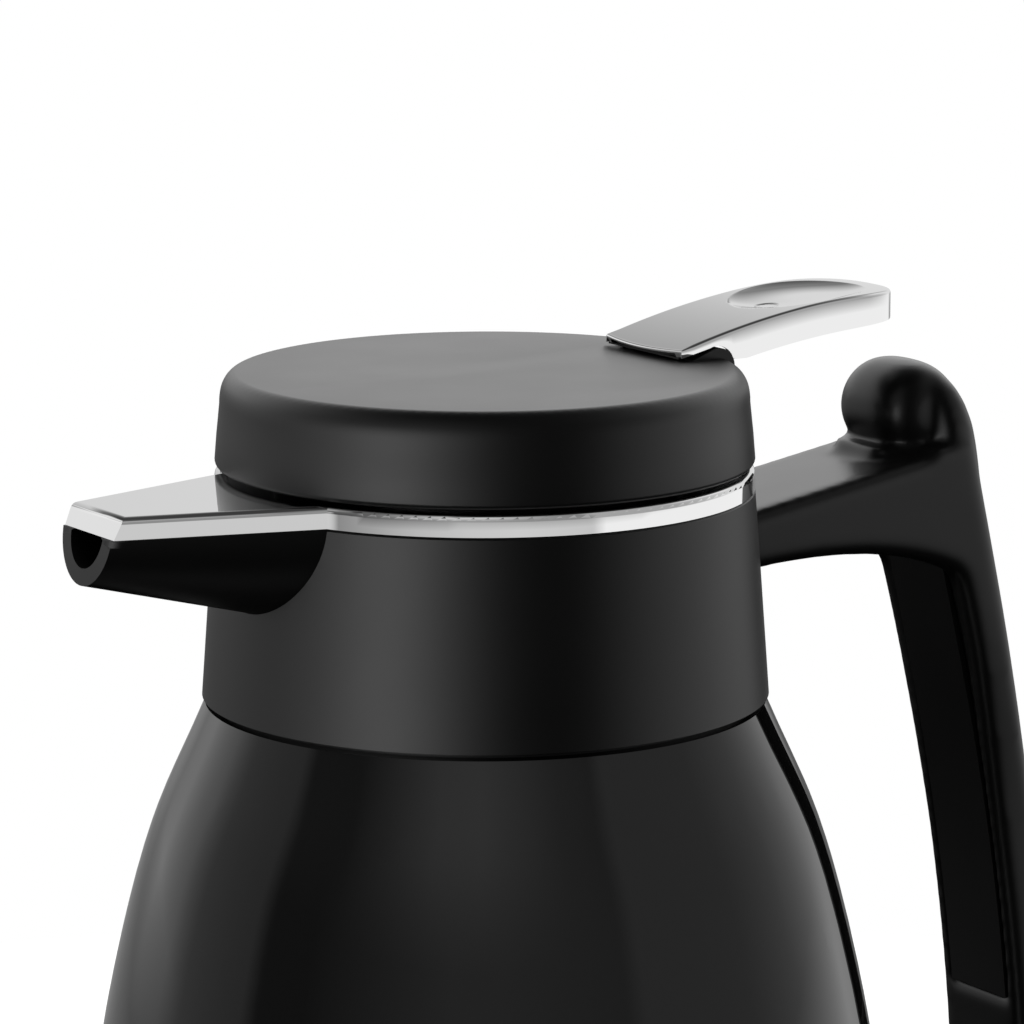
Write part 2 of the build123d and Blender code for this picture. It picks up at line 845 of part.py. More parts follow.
# Stopper: nose with the valve's seat, threaded waist, windowed column and flange
upper_bore_r = column_bore_r + guide_ledge
flange_top_z = flange_z + flange
seal_low_z = flange_z + seal_rise
seal_groove_r = flange_r - rim_seal_depth
with BuildPart() as stopper_body:
    with BuildSketch(Plane.XZ):
        with BuildLine():
            Polyline(
                (seat_r, nose_z),
                (nose_r - nose_edge, nose_z),
                (nose_r, nose_z + nose_edge),
                (nose_r, shoulder_z),
                (thread_r, shoulder_z),
                (thread_r, seam_z + thread_top_h),
                (column_r, seam_z + thread_top_h + waist_step),
                (column_r, flange_z),
                (flange_r, flange_z),
                (flange_r, seal_low_z),
                (seal_groove_r, seal_low_z),
                (seal_groove_r, seal_low_z + rim_seal_height),
                (flange_r, seal_low_z + rim_seal_height),
                (flange_r, flange_top_z),
                (upper_bore_r + column_wall, flange_top_z),
                (upper_bore_r + column_wall, lid_base_top_z),
                (upper_bore_r, lid_base_top_z),
                (upper_bore_r, guide_z),
                (column_bore_r, guide_z),
                (column_bore_r, seam_z + thread_top_h),
                (nose_r - nose_wall, shoulder_z),
                (nose_r - nose_wall, seat_z),
                (seat_r, seat_z),
                close=True,
            )
        make_face()
    revolve(axis=Axis.Z)
    with BuildSketch(Plane.XY.offset(seam_z + window_low_h)):
        with PolarLocations(column_r, windows):
            Rectangle(4 * column_wall, window_width)
    extrude(amount=window_height, mode=Mode.SUBTRACT)
    for place in around(pillar_circle_r, flange_top_z, third_angles):
        add(rod(place, Vector(place.X, place.Y, lid_base_z), boss_r))
    for place in around(pillar_circle_r, flange_z, third_angles):
        add(rod(place, Vector(place.X, place.Y, lid_base_z), screw_r + fit), mode=Mode.SUBTRACT)
stopper_body.part.label = "stopper_body"
export_step(stopper_body.part, "parts/stopper_body.step")

# Seal between the stopper's flange and the chrome ring
with BuildPart() as rim_seal:
    with BuildSketch(Plane.XZ):
        with BuildLine():
            Polyline(
                (seal_groove_r + fit, seal_low_z + fit),
                (ring_bore_r - rim_seal_gap, seal_low_z + fit),
                (ring_bore_r - rim_seal_gap, seal_low_z + rim_seal_height - fit),
                (seal_groove_r + fit, seal_low_z + rim_seal_height - fit),
                close=True,
            )
        make_face()
    revolve(axis=Axis.Z)
rim_seal.part.label = "rim_seal"
export_step(rim_seal.part, "parts/rim_seal.step")

# Plate that closes the valve chamber and guides the stem
stem_bore_r = stem_r + running
with BuildPart() as guide_plate:
    with BuildSketch(Plane.XZ):
        with BuildLine():
            Polyline(
                (stem_bore_r, guide_top_z - guide_hub_length),
                (guide_hub_r, guide_top_z - guide_hub_length),
                (guide_hub_r, guide_z),
                (upper_bore_r - fit, guide_z),
                (upper_bore_r - fit, guide_top_z),
                (stem_seal_r + guide_collar_wall, guide_top_z),
                (stem_seal_r + guide_collar_wall, hub_top_z),
                (stem_seal_r, hub_top_z),
                (stem_seal_r, hub_top_z - stem_seal_height),
                (stem_bore_r, hub_top_z - stem_seal_height),
                close=True,
            )
        make_face()
    revolve(axis=Axis.Z)
guide_plate.part.label = "guide_plate"
export_step(guide_plate.part, "parts/guide_plate.step")
with BuildPart() as stem_seal:
    with BuildSketch(Plane.XZ):
        with BuildLine():
            Polyline(
                (stem_bore_r, hub_top_z - stem_seal_height),
                (stem_seal_r - fit, hub_top_z - stem_seal_height),
                (stem_seal_r - fit, hub_top_z - fit),
                (stem_bore_r, hub_top_z - fit),
                close=True,
            )
        make_face()
    revolve(axis=Axis.Z)
stem_seal.part.label = "stem_seal"
export_step(stem_seal.part, "parts/stem_seal.step")

# Valve: plug, its seal, and the stem with the head that the lever's fork lifts
plug_top_z = plug_z + plug_disc
hub_low_z = plug_z - valve_seal_height
seal_in_r = seat_r - seat_lap
head_low_z = fork_z + fork_nose_r + 1.5 * fit
with BuildPart() as valve_plug:
    with BuildSketch(Plane.XZ):
        with BuildLine():
            Polyline(
                (0, hub_low_z - plug_guide),
                (seal_in_r - plug_taper, hub_low_z - plug_guide),
                (seal_in_r - fit, hub_low_z),
                (seal_in_r - fit, plug_z),
                (plug_r, plug_z),
                (plug_r, plug_top_z),
                (plug_hub_r, plug_top_z),
                (plug_hub_r, plug_top_z + plug_hub),
                (stem_r, plug_top_z + plug_hub),
                (stem_r, plug_top_z + plug_hub - stem_socket),
                (0, plug_top_z + plug_hub - stem_socket),
                close=True,
            )
        make_face()
    revolve(axis=Axis.Z)
valve_plug.part.label = "valve_plug"
export_step(valve_plug.part, "parts/valve_plug.step")
with BuildPart() as valve_seal:
    with BuildSketch(Plane.XZ):
        with BuildLine():
            Polyline(
                (seal_in_r, plug_z - valve_seal_height),
                (plug_r - seal_set_in, plug_z - valve_seal_height),
                (plug_r - seal_set_in, plug_z),
                (seal_in_r, plug_z),
                close=True,
            )
        make_face()
    revolve(axis=Axis.Z)
valve_seal.part.label = "valve_seal"
export_step(valve_seal.part, "parts/valve_seal.step")
with BuildPart() as valve_stem:
    with BuildSketch(Plane.XZ):
        with BuildLine():
            Polyline(
                (0, plug_top_z + plug_hub - stem_socket),
                (stem_r, plug_top_z + plug_hub - stem_socket),
                (stem_r, head_low_z),
                (stem_head_r, head_low_z),
                (stem_head_r, head_low_z + stem_head),
                (0, head_low_z + stem_head),
                close=True,
            )
        make_face()
    revolve(axis=Axis.Z)
valve_stem.part.label = "valve_stem"
export_step(valve_stem.part, "parts/valve_stem.step")

# Spring that closes the valve
spring_low_z = plug_top_z + spring_wire_r + fit
spring_height = guide_z - spring_wire_r - fit - spring_low_z
with BuildPart() as return_spring:
    with BuildLine():
        wire = Helix(spring_height / spring_turns, spring_height, spring_r, center=(0, 0, spring_low_z))
    with BuildSketch(Plane(origin=wire @ 0, z_dir=wire % 0)):
        Circle(spring_wire_r)
    sweep(path=wire, is_frenet=True)
return_spring.part.label = "return_spring"
export_step(return_spring.part, "parts/return_spring.step")

# Ring that carries the lid cap on the stopper, with a bead that the cap snaps over
lid_slope = lid_draft / (lid_height - lid_round_height)
cap_bore_r = lid_low_r - lid_wall - 2 * lid_slope
bead_z = lid_base_z + lid_base_height / 2
with BuildPart() as lid_base:
    with BuildSketch(Plane.XZ):
        with BuildLine():
            Polyline(
                (upper_bore_r + column_wall + fit, lid_base_z),
                (cap_bore_r - fit, lid_base_z),
                (cap_bore_r - fit, bead_z - bead),
                (cap_bore_r + bead - fit, bead_z),
                (cap_bore_r - fit, bead_z + bead),
                (cap_bore_r - fit, lid_base_top_z),
                (upper_bore_r + column_wall + fit, lid_base_top_z),
                close=True,
            )
        make_face()
    revolve(axis=Axis.Z)
    for place in around(pillar_circle_r, lid_base_z, third_angles):
        add(rod(place, place + Vector(0, 0, lid_base_height), screw_r + fit), mode=Mode.SUBTRACT)
lid_base.part.label = "lid_base"
export_step(lid_base.part, "parts/lid_base.step")
with BuildPart() as lid_base_screws:
    for place in around(pillar_circle_r, lid_base_top_z, third_angles):
        add(screw_at(place, (0, 0, -1), lid_base_top_z - flange_z))
lid_base_screws.part.label = "lid_base_screws"
export_step(lid_base_screws.part, "parts/lid_base_screws.step")

# Lid cap
side_top_z = lid_top_z - lid_round_height
round_x = lid_side_r - lid_round
wing_z = bridge_z + bracket_bridge
wing_y = bracket_half + boss_r + fit
wing_screws = [Vector(pivot_x - wing_screw_set, side * wing_y, wing_z) for side in (-1, 1)]
with BuildPart() as lid_cap:
    with BuildSketch(Plane.XZ):
        with BuildLine():
            low_edge = CenterArc(
                (lid_low_r - lid_low_edge, lid_low_z + lid_low_edge), lid_low_edge, 270, arc_size=90
            )
            top_edge = EllipticalCenterArc(
                (round_x, side_top_z), lid_round, lid_round_height, 0, arc_size=90
            )
            inner_edge = EllipticalCenterArc(
                (round_x, side_top_z), lid_round - lid_wall, lid_round_height - lid_wall, 0, arc_size=90
            )
            Line(low_edge @ 1, top_edge @ 0)
            Polyline(top_edge @ 1, (0, lid_top_z), (0, skin_z), inner_edge @ 1)
            Polyline(
                inner_edge @ 0,
                (cap_bore_r, lid_base_top_z),
                (cap_bore_r, bead_z + bead),
                (cap_bore_r + bead, bead_z),
                (cap_bore_r, bead_z - bead),
                (cap_bore_r, lid_low_z),
                low_edge @ 0,
            )
        make_face()
    revolve(axis=Axis.Z)
    # Opening for the knuckles of the lever's bracket, and bosses for its screws
    with BuildSketch(Plane.XY.offset(skin_z - fit)):
        with Locations((bracket_front_x - fit + past, 0)):
            Rectangle(2 * past, 2 * (bracket_half + fit))
    extrude(amount=lid_height, mode=Mode.SUBTRACT)
    # Room for the knuckles below the opening's edge
    with BuildSketch(Plane.XZ.offset(-bracket_half - fit)):
        with Locations((pivot_x, pivot_z)):
            Circle(knuckle_r + fit)
    extrude(amount=2 * (bracket_half + fit), mode=Mode.SUBTRACT)
    for place in wing_screws:
        add(rod(place + Vector(0, 0, bracket_wing), Vector(place.X, place.Y, skin_z + fit), boss_r))
        add(
            rod(place, Vector(place.X, place.Y, lid_top_z - wing_hole_roof), screw_r + fit),
            mode=Mode.SUBTRACT,
        )
lid_cap.part.label = "lid_cap"
export_step(lid_cap.part, "parts/lid_cap.step")


def knuckle_outline(growth, front_x, front_z, low_z):
    # Side view of a knuckle with the wedge that leads up to it, or of what clears them by growth.
    with BuildSketch() as outline:
        with Locations((pivot_x, pivot_z)):
            Circle(knuckle_r + growth)
        with Locations(((front_x + pivot_x) / 2, (front_z + low_z) / 2)):
            Rectangle(pivot_x - front_x, front_z - low_z)
        make_hull()
    return outline.sketch


# Bracket with the two knuckles that the lever turns on, screwed under the lid's skin
with BuildPart() as hinge_bracket:
    with BuildSketch(Plane.XZ.offset(-bracket_half)):
        add(knuckle_outline(0, bracket_front_x, lid_top_z + fit, skin_z))
        with Locations(((bracket_front_x + bracket_back_x) / 2, (bridge_z + pivot_z) / 2)):
            Rectangle(bracket_back_x - bracket_front_x, pivot_z - bridge_z)
    extrude(amount=2 * bracket_half)
    with BuildSketch(Plane.XY.offset(wing_z)):
        with Locations((pivot_x - wing_screw_set, 0)):
            Rectangle(wing_length, 2 * (bracket_half + bracket_wing_reach))
    extrude(amount=bracket_wing)
    with BuildSketch(Plane.XY.offset(wing_z)):
        with Locations((pivot_x, 0)):
            Rectangle(4 * past, 2 * slot_half)
    extrude(amount=2 * past, mode=Mode.SUBTRACT)
    pin_start = Vector(pivot_x, pin_stop - bracket_half, pivot_z)
    pin_end = Vector(pivot_x, bracket_half, pivot_z)
    add(rod(pin_start, pin_end, pin_r + fit / 4), mode=Mode.SUBTRACT)
    for place in wing_screws:
        add(rod(place, place + Vector(0, 0, bracket_wing), screw_r + fit), mode=Mode.SUBTRACT)
hinge_bracket.part.label = "hinge_bracket"
export_step(hinge_bracket.part, "parts/hinge_bracket.step")
with BuildPart() as bracket_screws:
    for place in wing_screws:
        add(screw_at(place, (0, 0, 1), lid_top_z - wing_screw_roof - wing_z))
bracket_screws.part.label = "bracket_screws"
export_step(bracket_screws.part, "parts/bracket_screws.step")
with BuildPart() as hinge_pin:
    add(rod(pin_start + Vector(0, fit, 0), pin_end - Vector(0, fit, 0), pin_r))
hinge_pin.part.label = "hinge_pin"
export_step(hinge_pin.part, "parts/hinge_pin.step")

# Lever: chrome cap over a black arm that reaches through the lid to the valve's stem
lever_middle_x = (lever_front_x + lever_tail_x) / 2
lever_middle_z = (lever_front_z + lever_tail_z) / 2 + lever_bow
tail_inside_x = lever_tail_x - 2 * lever_skin


def lever_arc(drop_front, drop_tail):
    # Arc along the lever, lowered from its crest by two amounts at its ends.
    return ThreePointArc(
        (lever_front_x, lever_front_z - drop_front),
        (lever_middle_x, lever_middle_z - (drop_front + drop_tail) / 2),
        (lever_tail_x, lever_tail_z - drop_tail),
    )


with BuildPart() as lever_cap:
    with BuildSketch(Plane.XZ.offset(-lever_half)):
        with BuildLine():
            crest = lever_arc(0, 0)
            sole = lever_arc(lever_front_side, lever_side)
            Line(crest @ 1, sole @ 1)
            nose_x = lever_front_x - 2 * lever_end_bow
            Polyline(
                crest @ 0,
                (nose_x, lever_front_z - lever_nose_drop),
                (nose_x, lever_front_z - lever_front_side),
                sole @ 0,
            )
        make_face()
        add(
            knuckle_outline(loose, lever_front_x, lid_top_z + fit, pivot_z - lever_tail),
            mode=Mode.SUBTRACT,
        )
    extrude(amount=2 * lever_half)
    # Plan: front edge bowed towards the lid's middle, rounded tail
    with BuildSketch(Plane.XY.offset(lid_low_z)):
        with BuildLine():
            front_bow = ThreePointArc(
                (lever_front_x, -lever_half),
                (lever_front_x - lever_end_bow, 0),
                (lever_front_x, lever_half),
            )
            tail_bow = ThreePointArc(
                (lever_tail_x - lever_end_bow, -lever_half),
                (lever_tail_x, 0),
                (lever_tail_x - lever_end_bow, lever_half),
            )
            Line(front_bow @ 0, tail_bow @ 0)
            Line(front_bow @ 1, tail_bow @ 1)
        make_face()
    extrude(amount=4 * past, mode=Mode.INTERSECT)
    # Hollow under the cap
    with BuildSketch(Plane.XZ.offset(-lever_half + lever_skin)):
        with BuildLine():
            ceiling = lever_arc(lever_front_skin, lever_tail_skin)
            Polyline(
                ceiling @ 0,
                (nose_x, lever_front_z - lever_front_skin - lever_nose_drop),
                (nose_x, pivot_z - lever_tail),
                (lever_tail_x, pivot_z - lever_tail),
                ceiling @ 1,
            )
        make_face()
        with Locations((tail_inside_x - lever_tail, pivot_z)):
            Rectangle(2 * lever_tail, 6 * lever_tail, mode=Mode.INTERSECT)
    extrude(amount=2 * (lever_half - lever_skin), mode=Mode.SUBTRACT)
    # Hollow for the thumb
    thumb_r = (dimple_r**2 + dimple_depth**2) / (2 * dimple_depth)
    thumb_up = Vector(lever_middle_z - lever_tail_z, 0, lever_tail_x - lever_middle_x).normalized()
    thumb_x = lever_tail_x - dimple_r - dimple_set_in
    thumb_z = lever_tail_z - dimple_sink
    thumb_centre = Vector(thumb_x, 0, thumb_z) + thumb_up * (thumb_r - dimple_depth)
    with Locations(Location(thumb_centre, (90, 0, 0))):
        Sphere(thumb_r, mode=Mode.SUBTRACT)
lever_cap.part.label = "lever_cap"
export_step(lever_cap.part, "parts/lever_cap.step")

with BuildPart() as lever_arm:
    # Pad that fills the cap
    with BuildSketch(Plane.XZ.offset(-lever_half + lever_skin + fit)):
        with BuildLine():
            pad_top = lever_arc(lever_front_skin + fit, lever_tail_skin + fit)
            pad_low = lever_arc(lever_front_side, lever_tail_skin + arm_pad)
            Line(pad_top @ 0, pad_low @ 0)
            Line(pad_top @ 1, pad_low @ 1)
        make_face()
        with Locations((tail_inside_x - fit - lever_tail, pivot_z)):
            Rectangle(2 * lever_tail, 6 * lever_tail, mode=Mode.INTERSECT)
        add(
            knuckle_outline(loose, lever_front_x, lid_top_z + loose, pivot_z - lever_tail),
            mode=Mode.SUBTRACT,
        )
    extrude(amount=2 * (lever_half - lever_skin - fit))
    # Boss on the pin and rib down to the fork
    arm_half = slot_half - loose
    arm_boss_r = knuckle_r - 2 * fit
    with BuildSketch(Plane.XZ.offset(-arm_half)):
        with Locations((pivot_x, pivot_z)):
            Circle(arm_boss_r)
        with Locations((0, fork_z)):
            Circle(fork_nose_r)
        with BuildLine():
            Polyline(
                (0, fork_z + fork_nose_r),
                (stem_head_r + 1.3, fork_z + fork_nose_r),
                (pivot_x - 5.0, skin_z - 1.9),
                (pivot_x - 3.0, pivot_z + 1.2),
                (pivot_x - 2.4, pivot_z + knuckle_r - 0.4),
                (pivot_x + 3.4, pivot_z + knuckle_r + 0.9),
                (pivot_x + 2.4, pivot_z - 2.0),
                (pivot_x - 1.0, pivot_z - knuckle_r + 0.4),
                (bracket_front_x, skin_z - 1.9 - arm_rib),
                (0, fork_z - fork_nose_r),
                close=True,
            )
        make_face()
    extrude(amount=2 * arm_half)
    add(
        rod((pivot_x, -lever_half, pivot_z), (pivot_x, lever_half, pivot_z), pin_r + running),
        mode=Mode.SUBTRACT,
    )
    # Slot of the fork round the stem
    with BuildSketch(Plane.XY.offset(fork_z - past)):
        SlotCenterPoint((-past, 0), (fork_bite, 0), 2 * (stem_r + loose + fit))
    extrude(amount=2 * past, mode=Mode.SUBTRACT)
lever_arm.part.label = "lever_arm"
export_step(lever_arm.part, "parts/lever_arm.step")
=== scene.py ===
import bpy
import bmesh
import math
from mathutils import Matrix, Vector


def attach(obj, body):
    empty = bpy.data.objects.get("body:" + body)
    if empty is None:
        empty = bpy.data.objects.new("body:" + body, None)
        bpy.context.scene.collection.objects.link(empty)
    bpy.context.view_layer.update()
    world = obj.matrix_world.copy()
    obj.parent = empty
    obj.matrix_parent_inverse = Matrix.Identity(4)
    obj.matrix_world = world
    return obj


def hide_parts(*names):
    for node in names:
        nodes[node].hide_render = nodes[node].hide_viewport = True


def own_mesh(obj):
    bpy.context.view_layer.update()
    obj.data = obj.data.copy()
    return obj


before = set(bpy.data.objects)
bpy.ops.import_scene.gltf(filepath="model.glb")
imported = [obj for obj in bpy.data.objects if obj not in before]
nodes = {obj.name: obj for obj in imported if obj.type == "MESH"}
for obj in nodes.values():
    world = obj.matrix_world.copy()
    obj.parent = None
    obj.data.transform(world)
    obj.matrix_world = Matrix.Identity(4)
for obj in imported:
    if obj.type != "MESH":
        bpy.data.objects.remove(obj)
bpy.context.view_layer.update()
print("frame loaded:", len(nodes), "nodes")


def toLinear(hexColour):  # sRGB hex to the linear colour that the shaders take
    parts = [int(hexColour[i:i + 2], 16) / 255 for i in (1, 3, 5)]
    return [c / 12.92 if c <= 0.04045 else ((c + 0.055) / 1.055) ** 2.4 for c in parts] + [1.0]


def addNode(tree, kind, settings=None, **links):  # one node: settings by name, links by socket
    node = tree.nodes.new(kind)
    for name, value in (settings or {}).items():
        if name in node.inputs:
            node.inputs[name].default_value = value
        else:
            setattr(node, name, value)
    for name, source in links.items():
        tree.links.new(source, node.inputs[name.replace("_", " ")])
    return node


def newMaterial(name):
    material = bpy.data.materials.new(name)
    material.use_nodes = True
    material.node_tree.nodes.clear()
    return material, material.node_tree


def closeMaterial(tree, shader):
    addNode(tree, "ShaderNodeOutputMaterial", Surface=shader.outputs[0])


# Moulded plastics: the tool's spark-eroded texture leaves a fine grain that breaks up the shine
def mouldedPlastic(name, look):
    material, tree = newMaterial(name)
    place = addNode(tree, "ShaderNodeTexCoord")
    grain = addNode(
        tree, "ShaderNodeTexNoise",
        {"Scale": 1000 / look["grainMm"], "Detail": 2.0, "Roughness": 0.6}, Vector=place.outputs["Object"],
    )
    flow = addNode(
        tree, "ShaderNodeTexNoise",
        {"Scale": 1000 / look["flowMm"], "Detail": 3.0, "Roughness": 0.5}, Vector=place.outputs["Object"],
    )
    spread = look["roughnessSpread"]
    gloss = addNode(
        tree, "ShaderNodeMapRange",
        {"To Min": look["roughness"] - spread, "To Max": look["roughness"] + spread},
        Value=flow.outputs["Fac"],
    )
    tone = addNode(tree, "ShaderNodeMix", {"data_type": "RGBA"}, Factor=flow.outputs["Fac"])
    tone.inputs[6].default_value = toLinear(look["colour"])
    tone.inputs[7].default_value = toLinear(look["colourWorn"])
    relief = addNode(
        tree, "ShaderNodeBump", {"Strength": look["grainStrength"], "Distance": look["grainDepthMm"] / 1000},
        Height=grain.outputs["Fac"],
    )
    shader = addNode(
        tree, "ShaderNodeBsdfPrincipled", {"IOR": look["ior"]},
        Base_Color=tone.outputs[2], Roughness=gloss.outputs["Result"], Normal=relief.outputs["Normal"],
    )
    closeMaterial(tree, shader)
    return material


mattePolypropylene = {  # lid, collar, spout and lever arm: near black, wide soft shine
    "colour": "#080808", "colourWorn": "#0b0b0b", "roughness": 0.4, "roughnessSpread": 0.03,
    "grainMm": 0.28, "grainDepthMm": 0.012, "grainStrength": 0.35, "flowMm": 24, "ior": 1.49,
}
satinNylon = {  # handle: the same black, rubbed smoother by the hand
    "colour": "#070707", "colourWorn": "#090909", "roughness": 0.34, "roughnessSpread": 0.04,
    "grainMm": 0.3, "grainDepthMm": 0.01, "grainStrength": 0.25, "flowMm": 30, "ior": 1.49,
}
hiddenPolypropylene = {  # stopper and base: plain satin mouldings
    "colour": "#1a1a1b", "colourWorn": "#202021", "roughness": 0.38, "roughnessSpread": 0.05,
    "grainMm": 0.4, "grainDepthMm": 0.01, "grainStrength": 0.25, "flowMm": 18, "ior": 1.49,
}
siliconeRubber = {  # seals: milky, slightly greasy shine
    "colour": "#c9c8c2", "colourWorn": "#bdbcb4", "roughness": 0.5, "roughnessSpread": 0.06,
    "grainMm": 0.5, "grainDepthMm": 0.01, "grainStrength": 0.3, "flowMm": 8, "ior": 1.41,
}
footRubber = {  # foot ring and flask cushion: dull black elastomer
    "colour": "#141414", "colourWorn": "#1b1b1a", "roughness": 0.72, "roughnessSpread": 0.06,
    "grainMm": 0.5, "grainDepthMm": 0.03, "grainStrength": 0.5, "flowMm": 12, "ior": 1.5,
}
mattePlastic = mouldedPlastic("matte polypropylene, spark-eroded", mattePolypropylene)
handlePlastic = mouldedPlastic("satin nylon, hand-worn", satinNylon)
innerPlastic = mouldedPlastic("satin polypropylene, moulded", hiddenPolypropylene)
sealSilicone = mouldedPlastic("silicone rubber, moulded", siliconeRubber)
standRubber = mouldedPlastic("elastomer, moulded dull", footRubber)

lacquer = {  # body: black under clear lacquer, which flows out mirror smooth but for a slight wave
    "colour": "#0c0c0c", "roughness": 0.0, "ior": 1.48,
    "waveMm": 9.0, "waveDepthMm": 0.01, "waveStrength": 0.06,
}


def waveRelief(tree, look):  # long shallow wave that bends what a mirror shows
    place = addNode(tree, "ShaderNodeTexCoord")
    wave = addNode(
        tree, "ShaderNodeTexNoise", {"Scale": 1000 / look["waveMm"], "Detail": 1.0},
        Vector=place.outputs["Object"],
    )
    relief = addNode(
        tree, "ShaderNodeBump", {"Strength": look["waveStrength"], "Distance": look["waveDepthMm"] / 1000},
        Height=wave.outputs["Fac"],
    )
    return relief.outputs["Normal"]


lacqueredShell, tree = newMaterial("polyurethane lacquer over steel, sprayed")
closeMaterial(tree, addNode(
    tree, "ShaderNodeBsdfPrincipled",
    {"Base Color": toLinear(lacquer["colour"]), "Roughness": lacquer["roughness"], "IOR": lacquer["ior"]},
    Normal=waveRelief(tree, lacquer),
))

# Chrome: a mirror with a faint wave, so that its reflections have clean edges that bend slightly
plating = {"colour": "#ececec", "roughness": 0.0, "waveMm": 14.0, "waveDepthMm": 0.01, "waveStrength": 0.05}
chromePlate, tree = newMaterial("chrome plating on ABS, polished")
closeMaterial(tree, addNode(
    tree, "ShaderNodeBsdfPrincipled",
    {"Base Color": toLinear(plating["colour"]), "Metallic": 1.0, "Roughness": plating["roughness"]},
    Normal=waveRelief(tree, plating),
))

# Steel: the turning and drawing marks spread its shine a little
steel = {"colour": "#a9a8a4", "roughness": 0.3, "turnedMm": 0.25, "turnedSpread": 0.08}
turnedSteel, tree = newMaterial("stainless steel, turned and drawn")
place = addNode(tree, "ShaderNodeTexCoord")
marks = addNode(
    tree, "ShaderNodeTexNoise", {"Scale": 1000 / steel["turnedMm"], "Detail": 2.0},
    Vector=place.outputs["Object"],
)
spread = steel["turnedSpread"]
shine = addNode(
    tree, "ShaderNodeMapRange",
    {"To Min": steel["roughness"] - spread, "To Max": steel["roughness"] + spread},
    Value=marks.outputs["Fac"],
)
closeMaterial(tree, addNode(
    tree, "ShaderNodeBsdfPrincipled", {"Base Color": toLinear(steel["colour"]), "Metallic": 1.0},
    Roughness=shine.outputs["Result"],
))

# Flask: the silver lies behind glass, so a clear shine sits over a cloudier mirror
silvering = {
    "colour": "#cfd3d6", "roughness": 0.08, "roughnessMost": 0.24, "coatRoughness": 0.02, "mottleMm": 20.0,
}
silveredGlass, tree = newMaterial("borosilicate glass, silvered inside")
place = addNode(tree, "ShaderNodeTexCoord")
mottle = addNode(
    tree, "ShaderNodeTexNoise", {"Scale": 1000 / silvering["mottleMm"], "Detail": 4.0},
    Vector=place.outputs["Object"],
)
cloud = addNode(
    tree, "ShaderNodeMapRange", {"To Min": silvering["roughness"], "To Max": silvering["roughnessMost"]},
    Value=mottle.outputs["Fac"],
)
closeMaterial(tree, addNode(
    tree, "ShaderNodeBsdfPrincipled",
    {
        "Base Color": toLinear(silvering["colour"]), "Metallic": 1.0,
        "Coat Weight": 1.0, "Coat Roughness": silvering["coatRoughness"],
    },
    Roughness=cloud.outputs["Result"],
))

finishes = {  # which finish each part of the frame gets
    "body_shell": lacqueredShell, "base_cap": innerPlastic, "foot_ring": standRubber,
    "glass_liner": silveredGlass, "liner_cushion": standRubber, "neck_gasket": sealSilicone,
    "collar": mattePlastic, "collar_screws": turnedSteel, "spout_beak": mattePlastic,
    "trim_ring": chromePlate, "handle_shell": handlePlastic, "handle_cover": handlePlastic,
    "handle_screws": turnedSteel, "handle_washers": turnedSteel, "stopper_gasket": sealSilicone,
    "stopper_body": innerPlastic, "rim_seal": sealSilicone, "guide_plate": innerPlastic,
    "stem_seal": sealSilicone, "lid_base": innerPlastic, "lid_base_screws": turnedSteel,
    "lid_cap": mattePlastic, "hinge_bracket": mattePlastic, "bracket_screws": turnedSteel,
    "hinge_pin": turnedSteel, "lever_cap": chromePlate, "lever_arm": mattePlastic,
    "valve_plug": innerPlastic, "valve_seal": sealSilicone, "valve_stem": innerPlastic,
    "return_spring": turnedSteel,
}
for name, finish in finishes.items():
    nodes[name].data.materials.clear()
    nodes[name].data.materials.append(finish)
print("finishes set")

sharpFrom = math.radians(38)  # edges that turn by more than this stay sharp


def smoothFaces(mesh):
    for face in mesh.polygons:
        face.use_smooth = True
    mesh.set_sharp_from_angle(angle=sharpFrom)


def newPiece(name, mesh, finish, body):
    piece = bpy.data.objects.new(name, mesh)
    bpy.context.scene.collection.objects.link(piece)
    mesh.materials.clear()
    mesh.materials.append(finish)
    smoothFaces(mesh)
    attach(piece, body)
    return piece


def modified(mesh, *steps):  # plain mesh after modifiers, each given as its kind and settings
    holder = bpy.data.objects.new(mesh.name + "Work", mesh)
    bpy.context.scene.collection.objects.link(holder)
    for kind, settings in steps:
        modifier = holder.modifiers.new(kind.lower(), kind)
        for name, value in settings.items():
            if hasattr(modifier, name):
                setattr(modifier, name, value)
            else:  # an input of a node tree, by its socket's identifier
                modifier[name] = value
    graph = bpy.context.evaluated_depsgraph_get()
    result = bpy.data.meshes.new_from_object(holder.evaluated_get(graph))
    bpy.data.objects.remove(holder)
    return result


def closeMesh(mesh, work):  # the edited faces back in their mesh
    work.to_mesh(mesh)
    work.free()


mergeWithin = 1e-6  # metres


def mergedCopy(name):  # the frame's mesh of a node, with its faces joined up
    mesh = nodes[name].data.copy()
    work = bmesh.new()
    work.from_mesh(mesh)
    bmesh.ops.remove_doubles(work, verts=work.verts, dist=mergeWithin)
    return mesh, work


def ramp01(value, low, high):  # 0 below low, 1 above high, eased between
    share = min(max((value - low) / (high - low), 0.0), 1.0)
    return share * share * (3 - 2 * share)


